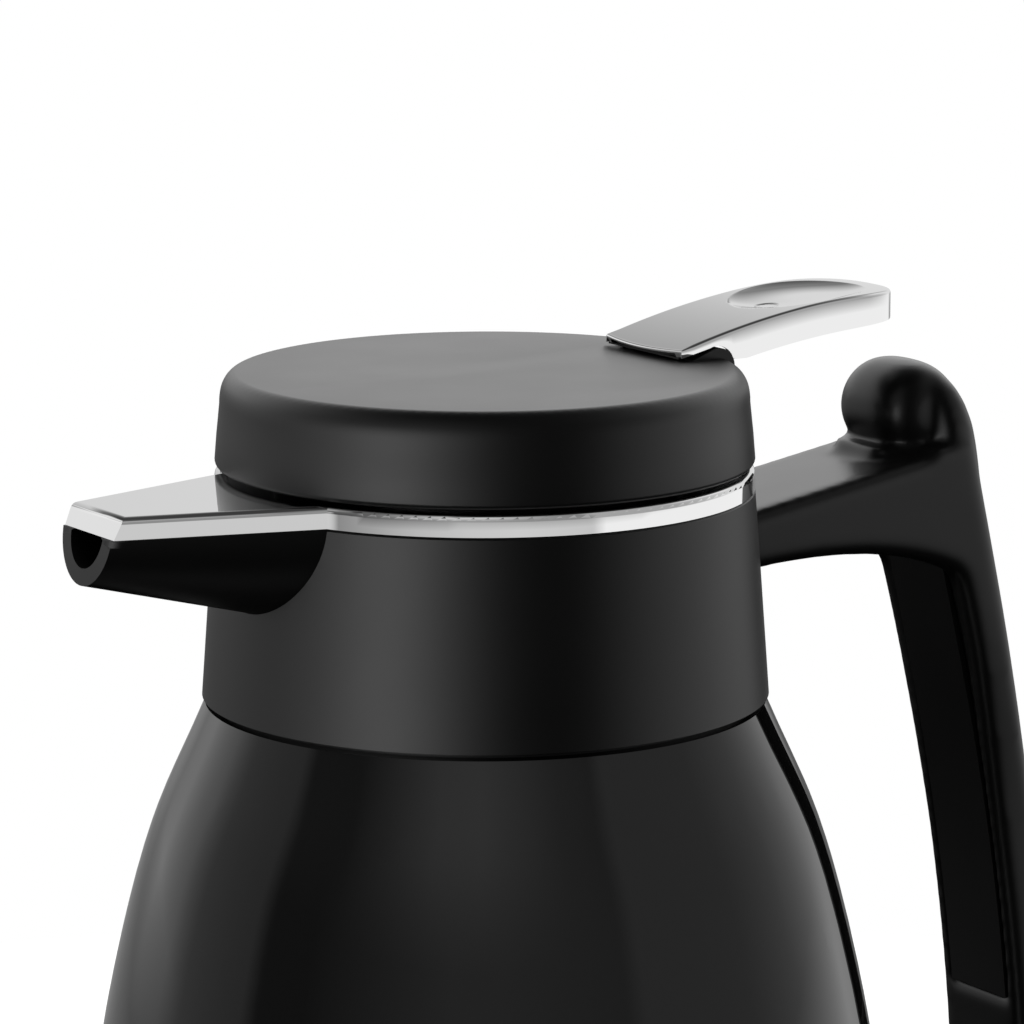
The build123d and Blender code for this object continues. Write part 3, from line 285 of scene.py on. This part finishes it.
# Lid: the frame's cap with the small radius that its lower edge shows
lid = {
    "frameRadius": 47.7, "radius": 47.3, "frameLowZ": 199.64, "lowZ": 198.95, "frameEdge": 1.9, "edge": 1.0,
    "slack": 0.01,
}
lidMesh, work = mergedCopy("lid_cap")
arcX = lid["frameRadius"] - lid["frameEdge"]
arcZ = lid["frameLowZ"] + lid["frameEdge"]
for vert in work.verts:
    x, y, z = vert.co * 1000
    reach = math.hypot(x, y)
    newReach = reach
    if z < arcZ + lid["slack"] and reach > arcX - lid["slack"]:
        turned = math.atan2(z - arcZ, reach - arcX)
        newReach = lid["radius"] + lid["edge"] * (math.cos(turned) - 1)
        vert.co.z = (lid["lowZ"] + lid["edge"] * (math.sin(turned) + 1)) / 1000
    elif reach > arcX:
        newReach = reach - (lid["frameRadius"] - lid["radius"]) * ramp01(reach, arcX, lid["frameRadius"])
    if newReach != reach:
        vert.co.x *= newReach / reach
        vert.co.y *= newReach / reach
closeMesh(lidMesh, work)
lidSkin = newPiece("lidSkin", lidMesh, mattePlastic, "closure")
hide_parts("lid_cap")
print("lid edged")

# Lever cap: a chrome shell with an oval tail, rolled edges and a hollow sunk for the thumb
lever = {
    "frontX": 33.4, "half": 12.0, "frontBow": 1.2, "endX": 84.4, "ovalLength": 15.6, "ovalPower": 2.62,
    "crestX": 84.0, "crestZ": 224.4, "crestRadius": 178.9,
    "droop": 0.5, "droopFrom": 60.0, "droopReach": 20.0,
    "edge": 0.7, "frontEdge": 0.35, "rollReach": 3.0, "wall": 0.85, "frontSkin": 0.45, "tailSkin": 2.6,
    "side": 5.95, "tailX": 78.0, "endLift": 0.5, "liftAfter": 3.0,
    "thumbX": 67.0, "thumbLong": 13.2, "thumbWide": 10.8, "thumbDepth": 1.25, "thumbPower": 4.0,
    "spotX": 60.0, "spotY": -0.4, "spotRadius": 2.2, "spotDepth": 0.16, "spotEdge": 0.5,
    "pivotX": 41.0, "pivotZ": 213.6, "knuckle": 3.8, "knuckleLead": 1.0, "wedgeZ": 215.7, "wedgeSlope": 0.227,
    "heelZ": 214.7, "frontWall": 0.4, "wallFromX": 35.0, "wallToX": 38.0, "seam": 0.02, "slack": 0.05,
    "lipBand": 0.95, "lipInset": 1.0, "lipHalf": 11.5, "lipBack": 3.0, "lipSteps": 24,
    "steps": 340, "rings": 100, "rollSteps": 6, "innerRings": 12, "ovalSteps": 180, "frontSteps": 40,
}
span = lever["tailX"] - lever["frontX"]


def arcHeight(x):  # circle that the crest follows
    radius = lever["crestRadius"]
    return lever["crestZ"] - radius + math.sqrt(radius ** 2 - (x - lever["crestX"]) ** 2)


def along(x, front, tail):  # a size that changes evenly from the lever's front to its tail
    return front + (tail - front) * (x - lever["frontX"]) / span


def topHeight(x, y):  # the crest with its droop, the thumb hollow and the small spot in it
    height = arcHeight(x) - lever["droop"] * (max(x - lever["droopFrom"], 0) / lever["droopReach"]) ** 2
    reach = math.hypot((x - lever["thumbX"]) / lever["thumbLong"], y / lever["thumbWide"])
    spot = math.hypot(x - lever["spotX"], y - lever["spotY"])
    if reach < 1:
        height -= lever["thumbDepth"] * (1 - reach ** lever["thumbPower"])
        spotInner = lever["spotRadius"] - lever["spotEdge"]
        height -= lever["spotDepth"] * ramp01(-spot, -lever["spotRadius"], -spotInner)
    return height


def ceilingHeight(x):  # underside of the shell
    return arcHeight(x) - along(x, lever["frontSkin"], lever["tailSkin"])


def soleHeight(x, y):  # lower edge of the sides, clear of the knuckles that the lever turns over
    if x < lever["frontX"] + lever["slack"] and abs(y) < lever["half"] - lever["frontWall"]:  # front lip
        return ceilingHeight(x) - lever["seam"]
    height = arcHeight(x) - lever["side"]
    height += lever["endLift"] * ramp01(x, lever["tailX"] + lever["liftAfter"], lever["endX"])
    beside = x - lever["pivotX"]
    clear = lever["wedgeZ"] + lever["wedgeSlope"] * (x - lever["frontX"])
    if beside > -lever["knuckleLead"]:
        clear = lever["pivotZ"] + math.sqrt(max(lever["knuckle"] ** 2 - beside ** 2, 0))
        clear = max(clear, lever["heelZ"])  # clear of the lid when pressed
    return max(height, clear)


def wallDepth(p):  # thinner where the wall's end shows beside the front lip
    share = ramp01(p.x, lever["wallFromX"], lever["wallToX"])
    return lever["frontWall"] + (lever["wall"] - lever["frontWall"]) * share


def rollRadius(p):  # rolled edge, finer along the front lip
    share = ramp01(p.x, lever["frontX"], lever["frontX"] + lever["rollReach"])
    return lever["frontEdge"] + (lever["edge"] - lever["frontEdge"]) * share


def superOval(angle, power):  # point on a unit superellipse
    across = math.copysign(abs(math.cos(angle)) ** (2 / power), math.cos(angle))
    away = math.copysign(abs(math.sin(angle)) ** (2 / power), math.sin(angle))
    return across, away


def leverOutline():  # plan of the lever, evenly stepped: near side, oval tail, far side, bowed front
    ovalX = lever["endX"] - lever["ovalLength"]
    corners = [(lever["frontX"], -lever["half"])]
    for step in range(lever["ovalSteps"] + 1):
        reach, out = superOval(math.radians(180 * step / lever["ovalSteps"] - 90), lever["ovalPower"])
        corners.append((ovalX + lever["ovalLength"] * reach, lever["half"] * out))
    for step in range(lever["frontSteps"] + 1):
        y = lever["half"] * (1 - 2 * step / lever["frontSteps"])
        corners.append((lever["frontX"] - lever["frontBow"] * (1 - (y / lever["half"]) ** 2), y))
    corners = [Vector(corner) for corner in corners]
    lengths = [0.0]
    for before, after in zip(corners, corners[1:]):
        lengths.append(lengths[-1] + (after - before).length)
    points = []
    index = 0
    for step in range(lever["steps"]):
        target = lengths[-1] * step / lever["steps"]
        while lengths[index + 1] < target:
            index += 1
        part = (target - lengths[index]) / (lengths[index + 1] - lengths[index])
        points.append(corners[index].lerp(corners[index + 1], part))
    return points


def inwards(points, inset):  # the outline moved in, by a size for each point
    moved = []
    for index, point in enumerate(points):
        run = (points[(index + 1) % len(points)] - points[index - 1]).normalized()
        moved.append(point + Vector((-run.y, run.x)) * inset(point))
    return moved


def addRing(work, points, height):
    return [work.verts.new((p.x / 1000, p.y / 1000, height(p.x, p.y) / 1000)) for p in points]


def bridge(work, first, second):  # faces between two rings of points
    count = len(first)
    for index in range(count):
        after = (index + 1) % count
        work.faces.new((first[index], first[after], second[after], second[index]))


def closeEnds(work, rings):  # a closed tube through rings of points
    for first, second in zip(rings, rings[1:]):
        bridge(work, first, second)
    work.faces.new(rings[0])
    work.faces.new(rings[-1])


work = bmesh.new()
outline = leverOutline()
rim = inwards(outline, rollRadius)
centre = Vector((lever["thumbX"], 0))
rings = []
for ring in range(1, lever["rings"] + 1):
    rings.append(addRing(work, [centre.lerp(p, ring / lever["rings"]) for p in rim], topHeight))
for step in range(1, lever["rollSteps"] + 1):
    angle = math.radians(90 * step / lever["rollSteps"])
    points = inwards(outline, lambda p: rollRadius(p) * (1 - math.sin(angle)))
    ring = addRing(work, points, topHeight)
    for vert, p, start in zip(ring, rim, outline):
        vert.co.z = (topHeight(p.x, p.y) - rollRadius(start) * (1 - math.cos(angle))) / 1000
    rings.append(ring)
upper = rings[-1]
lower = addRing(work, outline, soleHeight)
halfway = addRing(work, outline, soleHeight)
for vert, above, below in zip(halfway, upper, lower):
    vert.co.z = (above.co.z + below.co.z) / 2
rings += [halfway, lower]
inner = inwards(outline, wallDepth)
rings.append(addRing(work, inner, soleHeight))
for ring in range(lever["innerRings"], 0, -1):
    points = [centre.lerp(p, ring / lever["innerRings"]) for p in inner]
    rings.append(addRing(work, points, lambda x, y: ceilingHeight(x)))
for first, second in zip(rings, rings[1:]):
    bridge(work, first, second)
for ring, height in ((rings[0], topHeight(centre.x, 0)), (rings[-1], ceilingHeight(centre.x))):
    tip = work.verts.new((centre.x / 1000, 0, height / 1000))
    for index, vert in enumerate(ring):
        work.faces.new((vert, ring[index - 1], tip))
bmesh.ops.recalc_face_normals(work, faces=work.faces)
leverMesh = bpy.data.meshes.new("leverSkin")
closeMesh(leverMesh, work)
leverSkin = newPiece("leverSkin", leverMesh, chromePlate, "lever")
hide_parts("lever_cap")

# Edge of the black arm, seen as a dark line under the lever's front lip
work = bmesh.new()
strip = []
for step in range(lever["lipSteps"] + 1):
    y = lever["lipHalf"] * (2 * step / lever["lipSteps"] - 1)
    x = lever["frontX"] + lever["lipInset"] - lever["frontBow"] * (1 - (y / lever["half"]) ** 2)
    back = x + lever["lipBack"]
    top = ceilingHeight(x) + lever["seam"]
    low = top - lever["lipBand"]
    corners = ((x, top), (x, low), (back, low), (back, top))
    strip.append([work.verts.new((cx / 1000, y / 1000, cz / 1000)) for cx, cz in corners])
closeEnds(work, strip)
bmesh.ops.recalc_face_normals(work, faces=work.faces)
lipMesh = bpy.data.meshes.new("leverLip")
closeMesh(lipMesh, work)
newPiece("leverLip", lipMesh, mattePlastic, "lever")
print("lever formed:", len(leverMesh.polygons), "faces")

# Handle: the frame's grip with the head melted into one rounded hook
grip = {
    "cutZ": 194.4, "knobX": 90.3, "knobZ": 200.4, "knobRadius": 9.1, "knobHalf": 10.4, "knobPower": 3.0,
    "backFromX": 92.0, "backToX": 100.0, "backLowZ": 120.0, "backHighZ": 182.0, "backShift": 1.2,
    "postPower": 2.9, "voxelMm": 0.6, "smoothings": 28, "smoothing": 0.5, "ringSteps": 64, "knobSteps": 24,
    "postCap": [  # height, inner face, outer face, half width
        (182.0, 92.0, 102.9, 12.8), (190.0, 90.6, 102.1, 13.2), (194.0, 90.0, 101.4, 13.2),
        (198.0, 89.8, 100.6, 12.8), (202.0, 89.4, 99.1, 11.9), (205.0, 88.8, 97.3, 10.8),
        (207.5, 88.8, 95.0, 8.4), (208.7, 89.0, 92.8, 5.6), (209.2, 89.4, 91.4, 3.0),
    ],
}


def roundedRing(work, place, power):  # one superelliptic ring; place gives a point for two shares
    ring = []
    for step in range(grip["ringSteps"]):
        x, y, z = place(*superOval(2 * math.pi * step / grip["ringSteps"], power))
        ring.append(work.verts.new((x / 1000, y / 1000, z / 1000)))
    return ring


gripMesh, work = mergedCopy("handle_shell")
bmesh.ops.bisect_plane(
    work, geom=work.verts[:] + work.edges[:] + work.faces[:], plane_co=(0, 0, grip["cutZ"] / 1000),
    plane_no=(0, 0, 1), clear_outer=True,
)
bmesh.ops.holes_fill(work, edges=[edge for edge in work.edges if edge.is_boundary], sides=0)
for vert in work.verts:
    back = ramp01(vert.co.x * 1000, grip["backFromX"], grip["backToX"])
    high = ramp01(vert.co.z * 1000, grip["backLowZ"], grip["backHighZ"])
    vert.co.x += back * high * grip["backShift"] / 1000
knobRings = []
for step in range(1, grip["knobSteps"]):
    across, away = superOval(math.pi * (step / grip["knobSteps"] - 0.5), grip["knobPower"])
    reach = grip["knobRadius"] * across
    y = grip["knobHalf"] * away
    knobRings.append(roundedRing(
        work, lambda across, away: (grip["knobX"] + reach * across, y, grip["knobZ"] + reach * away), 2.0,
    ))
closeEnds(work, knobRings)
postRings = []
for z, low, high, half in grip["postCap"]:
    middle, depth = (low + high) / 2, (high - low) / 2
    postRings.append(roundedRing(
        work, lambda across, away: (middle + depth * across, half * away, z), grip["postPower"],
    ))
closeEnds(work, postRings)
bmesh.ops.recalc_face_normals(work, faces=work.faces)
closeMesh(gripMesh, work)
meltedMesh = modified(
    gripMesh, ("REMESH", {"mode": "VOXEL", "voxel_size": grip["voxelMm"] / 1000}),
    ("SMOOTH", {"factor": grip["smoothing"], "iterations": grip["smoothings"]}),
)
handleSkin = newPiece("handleSkin", meltedMesh, handlePlastic, "carafe")
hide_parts("handle_shell")
print("handle melted:", len(meltedMesh.polygons), "faces")

# Spout: the frame's channel with the thicker lip that its mouth shows
beak = {
    "topZ": 194.46, "half": 8.53, "depth": 9.2, "innerShare": 0.87,
    "drawnIn": 0.88, "fromX": -70.0, "toX": -78.5,
}
beakMesh, work = mergedCopy("spout_beak")
for vert in work.verts:
    x, y, z = vert.co * 1000
    share = math.hypot(y / beak["half"], (beak["topZ"] - z) / beak["depth"])
    if share < beak["innerShare"]:
        drawn = 1 + (beak["drawnIn"] - 1) * ramp01(-x, -beak["fromX"], -beak["toX"])
        vert.co.y = y * drawn / 1000
        vert.co.z = (beak["topZ"] + (z - beak["topZ"]) * drawn) / 1000
closeMesh(beakMesh, work)
beakSkin = newPiece("beakSkin", beakMesh, mattePlastic, "carafe")
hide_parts("spout_beak")
print("spout lipped")

# Ring and spout cover: the frame's mesh, its wide faces shown flat and its rounded edges smooth
trim = {"flatDegrees": 0.4, "weight": 100}
ringMesh, work = mergedCopy("trim_ring")
bmesh.ops.dissolve_limit(
    work, angle_limit=math.radians(trim["flatDegrees"]), verts=work.verts, edges=work.edges,
)
closeMesh(ringMesh, work)
smoothFaces(ringMesh)
weighing = {"mode": "FACE_AREA", "weight": trim["weight"], "keep_sharp": True}
weighedMesh = modified(ringMesh, ("WEIGHTED_NORMAL", weighing))
ringSkin = newPiece("ringSkin", weighedMesh, chromePlate, "carafe")
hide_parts("trim_ring")
print("ring smoothed")

# Return spring: a copy of the frame's spring, on the closure's body and with a mesh of its own
springMesh, work = mergedCopy("return_spring")
low = min(vert.co.z for vert in work.verts)
closeMesh(springMesh, work)
springSkin = newPiece("springSkin", springMesh, turnedSteel, "closure")
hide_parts("return_spring")
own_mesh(springSkin)
print("spring fitted")

# Threads: four starts on the stopper and in the throat. Both wind left-handed, but the closure turns as on a
# right-handed thread, so the ridges cut into each other at rest and while it unscrews.
thread = {
    "lead": 14.0, "starts": 4, "ridgeHalf": 0.6, "ridgeDepth": 0.85, "fade": 0.12,
    "stepsPerTurn": 96, "ridgeSides": 10,
    "stopperRadius": 35.6, "stopperLow": 167.2, "stopperHigh": 173.6,
    "throatRadius": 36.7, "throatLow": 165.0, "throatHigh": 174.4,
}
stopperThread = dict(
    radius=thread["stopperRadius"], low=thread["stopperLow"], high=thread["stopperHigh"], shift=0.0,
)
throatThread = dict(
    radius=thread["throatRadius"], low=thread["throatLow"], high=thread["throatHigh"], shift=0.5,
)


def threadMesh(name, cut, finish):  # helical ridges swept along spirals and turned round the axis
    tree = bpy.data.node_groups.new(name, "GeometryNodeTree")
    inputs = {}
    turns = (cut["high"] - cut["low"]) / thread["lead"]
    # Where the first ridge starts at the low end, as an angle from the X axis
    startTurn = 2 * math.pi * (cut["low"] / thread["lead"] + cut["shift"] / thread["starts"])
    for label, kind, value in (
        ("Radius", "NodeSocketFloat", cut["radius"] / 1000), ("Low", "NodeSocketFloat", cut["low"] / 1000),
        ("Height", "NodeSocketFloat", (cut["high"] - cut["low"]) / 1000), ("Turns", "NodeSocketFloat", turns),
        ("Start turn", "NodeSocketFloat", startTurn), ("Starts", "NodeSocketInt", thread["starts"]),
        ("Ridge half", "NodeSocketFloat", thread["ridgeHalf"] / 1000),
        ("Ridge depth", "NodeSocketFloat", thread["ridgeDepth"] / 1000),
        ("Steps", "NodeSocketInt", int(turns * thread["stepsPerTurn"])),
    ):
        socket = tree.interface.new_socket(label, in_out="INPUT", socket_type=kind)
        inputs[socket.identifier] = value
    tree.interface.new_socket("Geometry", in_out="OUTPUT", socket_type="NodeSocketGeometry")
    given = addNode(tree, "NodeGroupInput").outputs
    ends = addNode(
        tree, "GeometryNodeCurveSpiral", None, Resolution=given["Steps"], Rotations=given["Turns"],
        Start_Radius=given["Radius"], End_Radius=given["Radius"], Height=given["Height"],
    )
    upright = addNode(tree, "GeometryNodeSetCurveNormal", {"mode": "Z_UP"}, Curve=ends.outputs[0])
    way = addNode(tree, "GeometryNodeSplineParameter")
    rising = addNode(
        tree, "ShaderNodeMapRange",
        {"interpolation_type": "SMOOTHSTEP", "From Max": thread["fade"]},
        Value=way.outputs["Factor"],
    )
    falling = addNode(
        tree, "ShaderNodeMapRange",
        {"interpolation_type": "SMOOTHSTEP", "From Min": 1.0, "From Max": 1 - thread["fade"]},
        Value=way.outputs["Factor"],
    )
    swell = addNode(tree, "ShaderNodeMath", {"operation": "MULTIPLY"})
    tree.links.new(rising.outputs["Result"], swell.inputs[0])
    tree.links.new(falling.outputs["Result"], swell.inputs[1])
    section = addNode(
        tree, "GeometryNodeCurvePrimitiveCircle", {"Resolution": thread["ridgeSides"], "Radius": 1.0},
    )
    size = addNode(tree, "ShaderNodeCombineXYZ", None, X=given["Ridge depth"], Y=given["Ridge half"])
    profile = addNode(
        tree, "GeometryNodeTransform", None, Geometry=section.outputs["Curve"], Scale=size.outputs[0],
    )
    ridge = addNode(
        tree, "GeometryNodeCurveToMesh", {"Fill Caps": True}, Curve=upright.outputs[0],
        Profile_Curve=profile.outputs[0], Scale=swell.outputs[0],
    )
    centreLine = addNode(tree, "GeometryNodeMeshLine", None, Count=given["Starts"])
    centreLine.inputs["Offset"].default_value = (0, 0, 0)
    number = addNode(tree, "GeometryNodeInputIndex")
    share = addNode(tree, "ShaderNodeMath", {"operation": "DIVIDE"})
    tree.links.new(number.outputs[0], share.inputs[0])
    tree.links.new(given["Starts"], share.inputs[1])
    turned = addNode(tree, "ShaderNodeMath", {"operation": "MULTIPLY_ADD"})
    tree.links.new(share.outputs[0], turned.inputs[0])
    turned.inputs[1].default_value = 2 * math.pi
    tree.links.new(given["Start turn"], turned.inputs[2])
    about = addNode(tree, "ShaderNodeCombineXYZ", None, Z=turned.outputs[0])
    raised = addNode(tree, "ShaderNodeCombineXYZ", None, Z=given["Low"])
    placed = addNode(
        tree, "GeometryNodeSetPosition", None, Geometry=centreLine.outputs[0], Offset=raised.outputs[0],
    )
    copies = addNode(
        tree, "GeometryNodeInstanceOnPoints", None, Points=placed.outputs[0], Instance=ridge.outputs[0],
        Rotation=about.outputs[0],
    )
    real = addNode(tree, "GeometryNodeRealizeInstances", None, Geometry=copies.outputs[0])
    painted = addNode(tree, "GeometryNodeSetMaterial", {"Material": finish}, Geometry=real.outputs[0])
    addNode(tree, "NodeGroupOutput", None, Geometry=painted.outputs[0])
    return modified(bpy.data.meshes.new(name), ("NODES", {"node_group": tree, **inputs}))


stopperRidges = threadMesh("stopperThread", stopperThread, innerPlastic)
throatRidges = threadMesh("throatThread", throatThread, mattePlastic)
newPiece("stopperThread", stopperRidges, innerPlastic, "closure")
newPiece("throatThread", throatRidges, mattePlastic, "carafe")
print("threads cut:", len(stopperRidges.polygons), "and", len(throatRidges.polygons), "faces")

# Floor, backdrop and light. Angles are degrees round from the camera, + to its right.
studio = {
    "floorRadius": 0.42, "floorSides": 128, "floorColour": "#e6e6e5", "floorGlow": 0.5, "fillLight": 0.42,
    "matteLow": -2.0, "matteHigh": 14.0, "matteFloor": -16.0,
    "ceilingFrom": 40.0, "ceilingTo": 62.0, "ceilingShine": 0.05,
    "floorEdge": -5.0, "wallLow": 14.0, "wallHigh": 36.0, "edgeSoft": 3.0,
    "lampSize": 0.9, "lampEnergy": 9.0, "lampPlace": (-0.1, 0.2, 1.4), "lampAim": (0, 0, 0.1),
}
matteWallLow = [  # what the dull plastics see level with the lid: a softbox on the left, a flag on the right
    (-180, 0.3), (-150, 0.25), (-120, 0.5), (-90, 0.6), (-62, 1.7), (-46, 3.9), (-34, 3.9), (-19, 1.6),
    (0, 0.25), (8, 0.01), (44, 0.0), (60, 0.6), (82, 0.95), (110, 1.1), (135, 0.7), (150, 0.4), (180, 0.3),
]
matteWallHigh = [
    (-180, 1.5), (-130, 1.3), (-90, 0.5), (-70, 0.25), (-20, 0.25), (8, 0.01), (46, 0.01), (90, 0.45),
    (125, 1.3), (180, 1.7),
]
mirrorFloor = [  # what lacquer and chrome see below the horizon
    (-180, 0.3), (-140, 0.4), (-110, 0.4), (-67, 0.28), (-47, 0.42), (-29, 0.56), (-7, 0.66), (15, 0.7),
    (46, 0.65), (52, 1.0), (140, 1.0), (160, 0.2), (180, 0.1),
]
mirrorWallLow = [
    (-180, 0.75), (-150, 0.5), (-137, 1.0), (-118, 0.85), (-106, 0.45), (-80, 0.38), (-74, 0.09), (-58, 0.09),
    (-38, 0.2), (-11, 0.36), (4, 0.36), (22, 0.31), (44, 0.27), (50, 0.43), (88, 0.4), (110, 0.55),
    (136, 0.85), (155, 0.8), (180, 0.75),
]
mirrorWallHigh = [
    (-180, 0.22), (-160, 0.16), (-138, 0.15), (-124, 0.8), (-112, 0.8), (-103, 0.5), (-80, 0.43),
    (-74, 0.16), (-53, 0.13), (-33, 0.42), (-19, 0.64), (-2, 0.68), (14, 0.5), (30, 0.31), (44, 0.24),
    (50, 0.43), (88, 0.43), (118, 0.72), (136, 0.9), (165, 0.25), (180, 0.22),
]
photoTurn = math.radians(32.3)  # how far the photograph's camera stands round from the spout's side

bpy.ops.mesh.primitive_circle_add(
    vertices=studio["floorSides"], radius=studio["floorRadius"], fill_type="NGON",
)
floor = bpy.context.object
floor.name = "studioFloor"
floor.visible_glossy = False
floorPaint, tree = newMaterial("paper floor")
path = addNode(tree, "ShaderNodeLightPath")
paper = addNode(tree, "ShaderNodeBsdfDiffuse", {"Color": toLinear(studio["floorColour"])})
glow = addNode(tree, "ShaderNodeEmission", {"Color": (1, 1, 1, 1), "Strength": studio["floorGlow"]})
lit = addNode(tree, "ShaderNodeAddShader")
tree.links.new(paper.outputs[0], lit.inputs[0])
tree.links.new(glow.outputs[0], lit.inputs[1])
pick = addNode(tree, "ShaderNodeMixShader", Fac=path.outputs["Is Camera Ray"])
tree.links.new(paper.outputs[0], pick.inputs[1])
tree.links.new(lit.outputs[0], pick.inputs[2])
closeMaterial(tree, pick)
floor.data.materials.append(floorPaint)

world = bpy.data.worlds.new("white studio")
bpy.context.scene.world = world
world.use_nodes = True
tree = world.node_tree
tree.nodes.clear()
path = addNode(tree, "ShaderNodeLightPath")
place = addNode(tree, "ShaderNodeTexCoord")
turned = addNode(
    tree, "ShaderNodeMapping", {"Rotation": (0, 0, photoTurn)}, Vector=place.outputs["Generated"],
)
split = addNode(tree, "ShaderNodeSeparateXYZ", Vector=turned.outputs[0])
toward = addNode(tree, "ShaderNodeMath", {"operation": "MULTIPLY"})
tree.links.new(split.outputs["Y"], toward.inputs[0])
toward.inputs[1].default_value = -1
azimuth = addNode(tree, "ShaderNodeMath", {"operation": "ARCTAN2"})
tree.links.new(split.outputs["X"], azimuth.inputs[0])
tree.links.new(toward.outputs[0], azimuth.inputs[1])
round01 = addNode(
    tree, "ShaderNodeMapRange", {"From Min": -math.pi, "From Max": math.pi}, Value=azimuth.outputs[0],
)


def wallRound(stops):  # brightness of a band of the studio's wall, by direction
    band = addNode(tree, "ShaderNodeValToRGB", Fac=round01.outputs["Result"])
    ramp = band.color_ramp
    while len(ramp.elements) < len(stops):
        ramp.elements.new(0.5)
    for element, (angle, level) in zip(ramp.elements, stops):
        element.position = (angle + 180) / 360
    for element, (angle, level) in zip(ramp.elements, stops):
        element.color = (level, level, level, 1)
    return band.outputs["Color"]


def stepUp(low, high):  # 0 below one height over the horizon, 1 above another, in degrees
    rise = addNode(
        tree, "ShaderNodeMapRange",
        {"From Min": math.sin(math.radians(low)), "From Max": math.sin(math.radians(high))},
        Value=split.outputs["Z"],
    )
    return rise.outputs["Result"]


def blend(factor, below, above):  # from one brightness to another, each a number or a socket
    mix = addNode(tree, "ShaderNodeMix", {"data_type": "RGBA"}, Factor=factor)
    for socket, source in ((mix.inputs[6], below), (mix.inputs[7], above)):
        if isinstance(source, float):
            socket.default_value = (source, source, source, 1)
        else:
            tree.links.new(source, socket)
    return mix.outputs[2]


soft = studio["edgeSoft"]
ceiling = stepUp(studio["ceilingFrom"], studio["ceilingTo"])
matteRise = stepUp(studio["matteLow"], studio["matteHigh"])
matte = blend(matteRise, wallRound(matteWallLow), wallRound(matteWallHigh))
matte = blend(stepUp(studio["matteFloor"] - 2 * soft, studio["matteFloor"] + 2 * soft), 0.0, matte)
matte = blend(ceiling, matte, 0.0)
mirrorRise = stepUp(studio["wallLow"], studio["wallHigh"])
mirror = blend(mirrorRise, wallRound(mirrorWallLow), wallRound(mirrorWallHigh))
mirror = blend(stepUp(studio["floorEdge"] - soft, studio["floorEdge"] + soft), wallRound(mirrorFloor), mirror)
mirror = blend(ceiling, mirror, studio["ceilingShine"])
shine = blend(path.outputs["Is Singular Ray"], matte, mirror)
fill = addNode(tree, "ShaderNodeBackground", {"Color": (1, 1, 1, 1), "Strength": studio["fillLight"]})
wall = addNode(tree, "ShaderNodeBackground", {"Strength": 1.0}, Color=shine)
white = addNode(tree, "ShaderNodeBackground", {"Color": (1, 1, 1, 1), "Strength": 1.0})
glossy = addNode(tree, "ShaderNodeMixShader", Fac=path.outputs["Is Glossy Ray"])
tree.links.new(fill.outputs[0], glossy.inputs[1])
tree.links.new(wall.outputs[0], glossy.inputs[2])
seen = addNode(tree, "ShaderNodeMath", {"operation": "MAXIMUM"})
tree.links.new(path.outputs["Is Camera Ray"], seen.inputs[0])
tree.links.new(path.outputs["Is Transmission Ray"], seen.inputs[1])
final = addNode(tree, "ShaderNodeMixShader", Fac=seen.outputs[0])
tree.links.new(glossy.outputs[0], final.inputs[1])
tree.links.new(white.outputs[0], final.inputs[2])
addNode(tree, "ShaderNodeOutputWorld", Surface=final.outputs[0])

lamp = bpy.data.lights.new("softboxTop", "AREA")
lamp.shape = "SQUARE"
lamp.size = studio["lampSize"]
lamp.energy = studio["lampEnergy"]
overhead = bpy.data.objects.new("softboxTop", lamp)
overhead.location = studio["lampPlace"]
aim = Vector(studio["lampAim"]) - overhead.location
overhead.rotation_euler = aim.to_track_quat("-Z", "Y").to_euler()
overhead.visible_glossy = False
bpy.context.scene.collection.objects.link(overhead)
print("studio lit")

# Camera where the photograph's stood, solved from the rims' ellipses
view = {
    "distance": 0.8812, "height": 0.3577, "pitch": 10.785, "yaw": 0.3067, "roll": -0.091,
    "lens": 179.7, "sensor": 36.0, "nearest": 0.01,
}
eye = Vector((
    -math.sin(photoTurn) * view["distance"], -math.cos(photoTurn) * view["distance"], view["height"],
))
heading = photoTurn + math.radians(view["yaw"])
pitch = math.radians(view["pitch"])
forward = Vector((math.sin(heading) * math.cos(pitch), math.cos(heading) * math.cos(pitch), -math.sin(pitch)))
right = Vector((math.cos(heading), -math.sin(heading), 0))
up = right.cross(forward)
roll = Matrix.Rotation(math.radians(view["roll"]), 3, "Z")
axes = Matrix((right, up, -forward)).transposed() @ roll
lens = bpy.data.cameras.new("photoCamera")
lens.lens = view["lens"]
lens.sensor_width = view["sensor"]
lens.clip_start = view["nearest"]
camera = bpy.data.objects.new("photoCamera", lens)
camera.matrix_world = Matrix.Translation(eye) @ axes.to_4x4()
bpy.context.scene.collection.objects.link(camera)
bpy.context.scene.camera = camera
bpy.context.scene.view_settings.view_transform = "Standard"
print("camera placed")
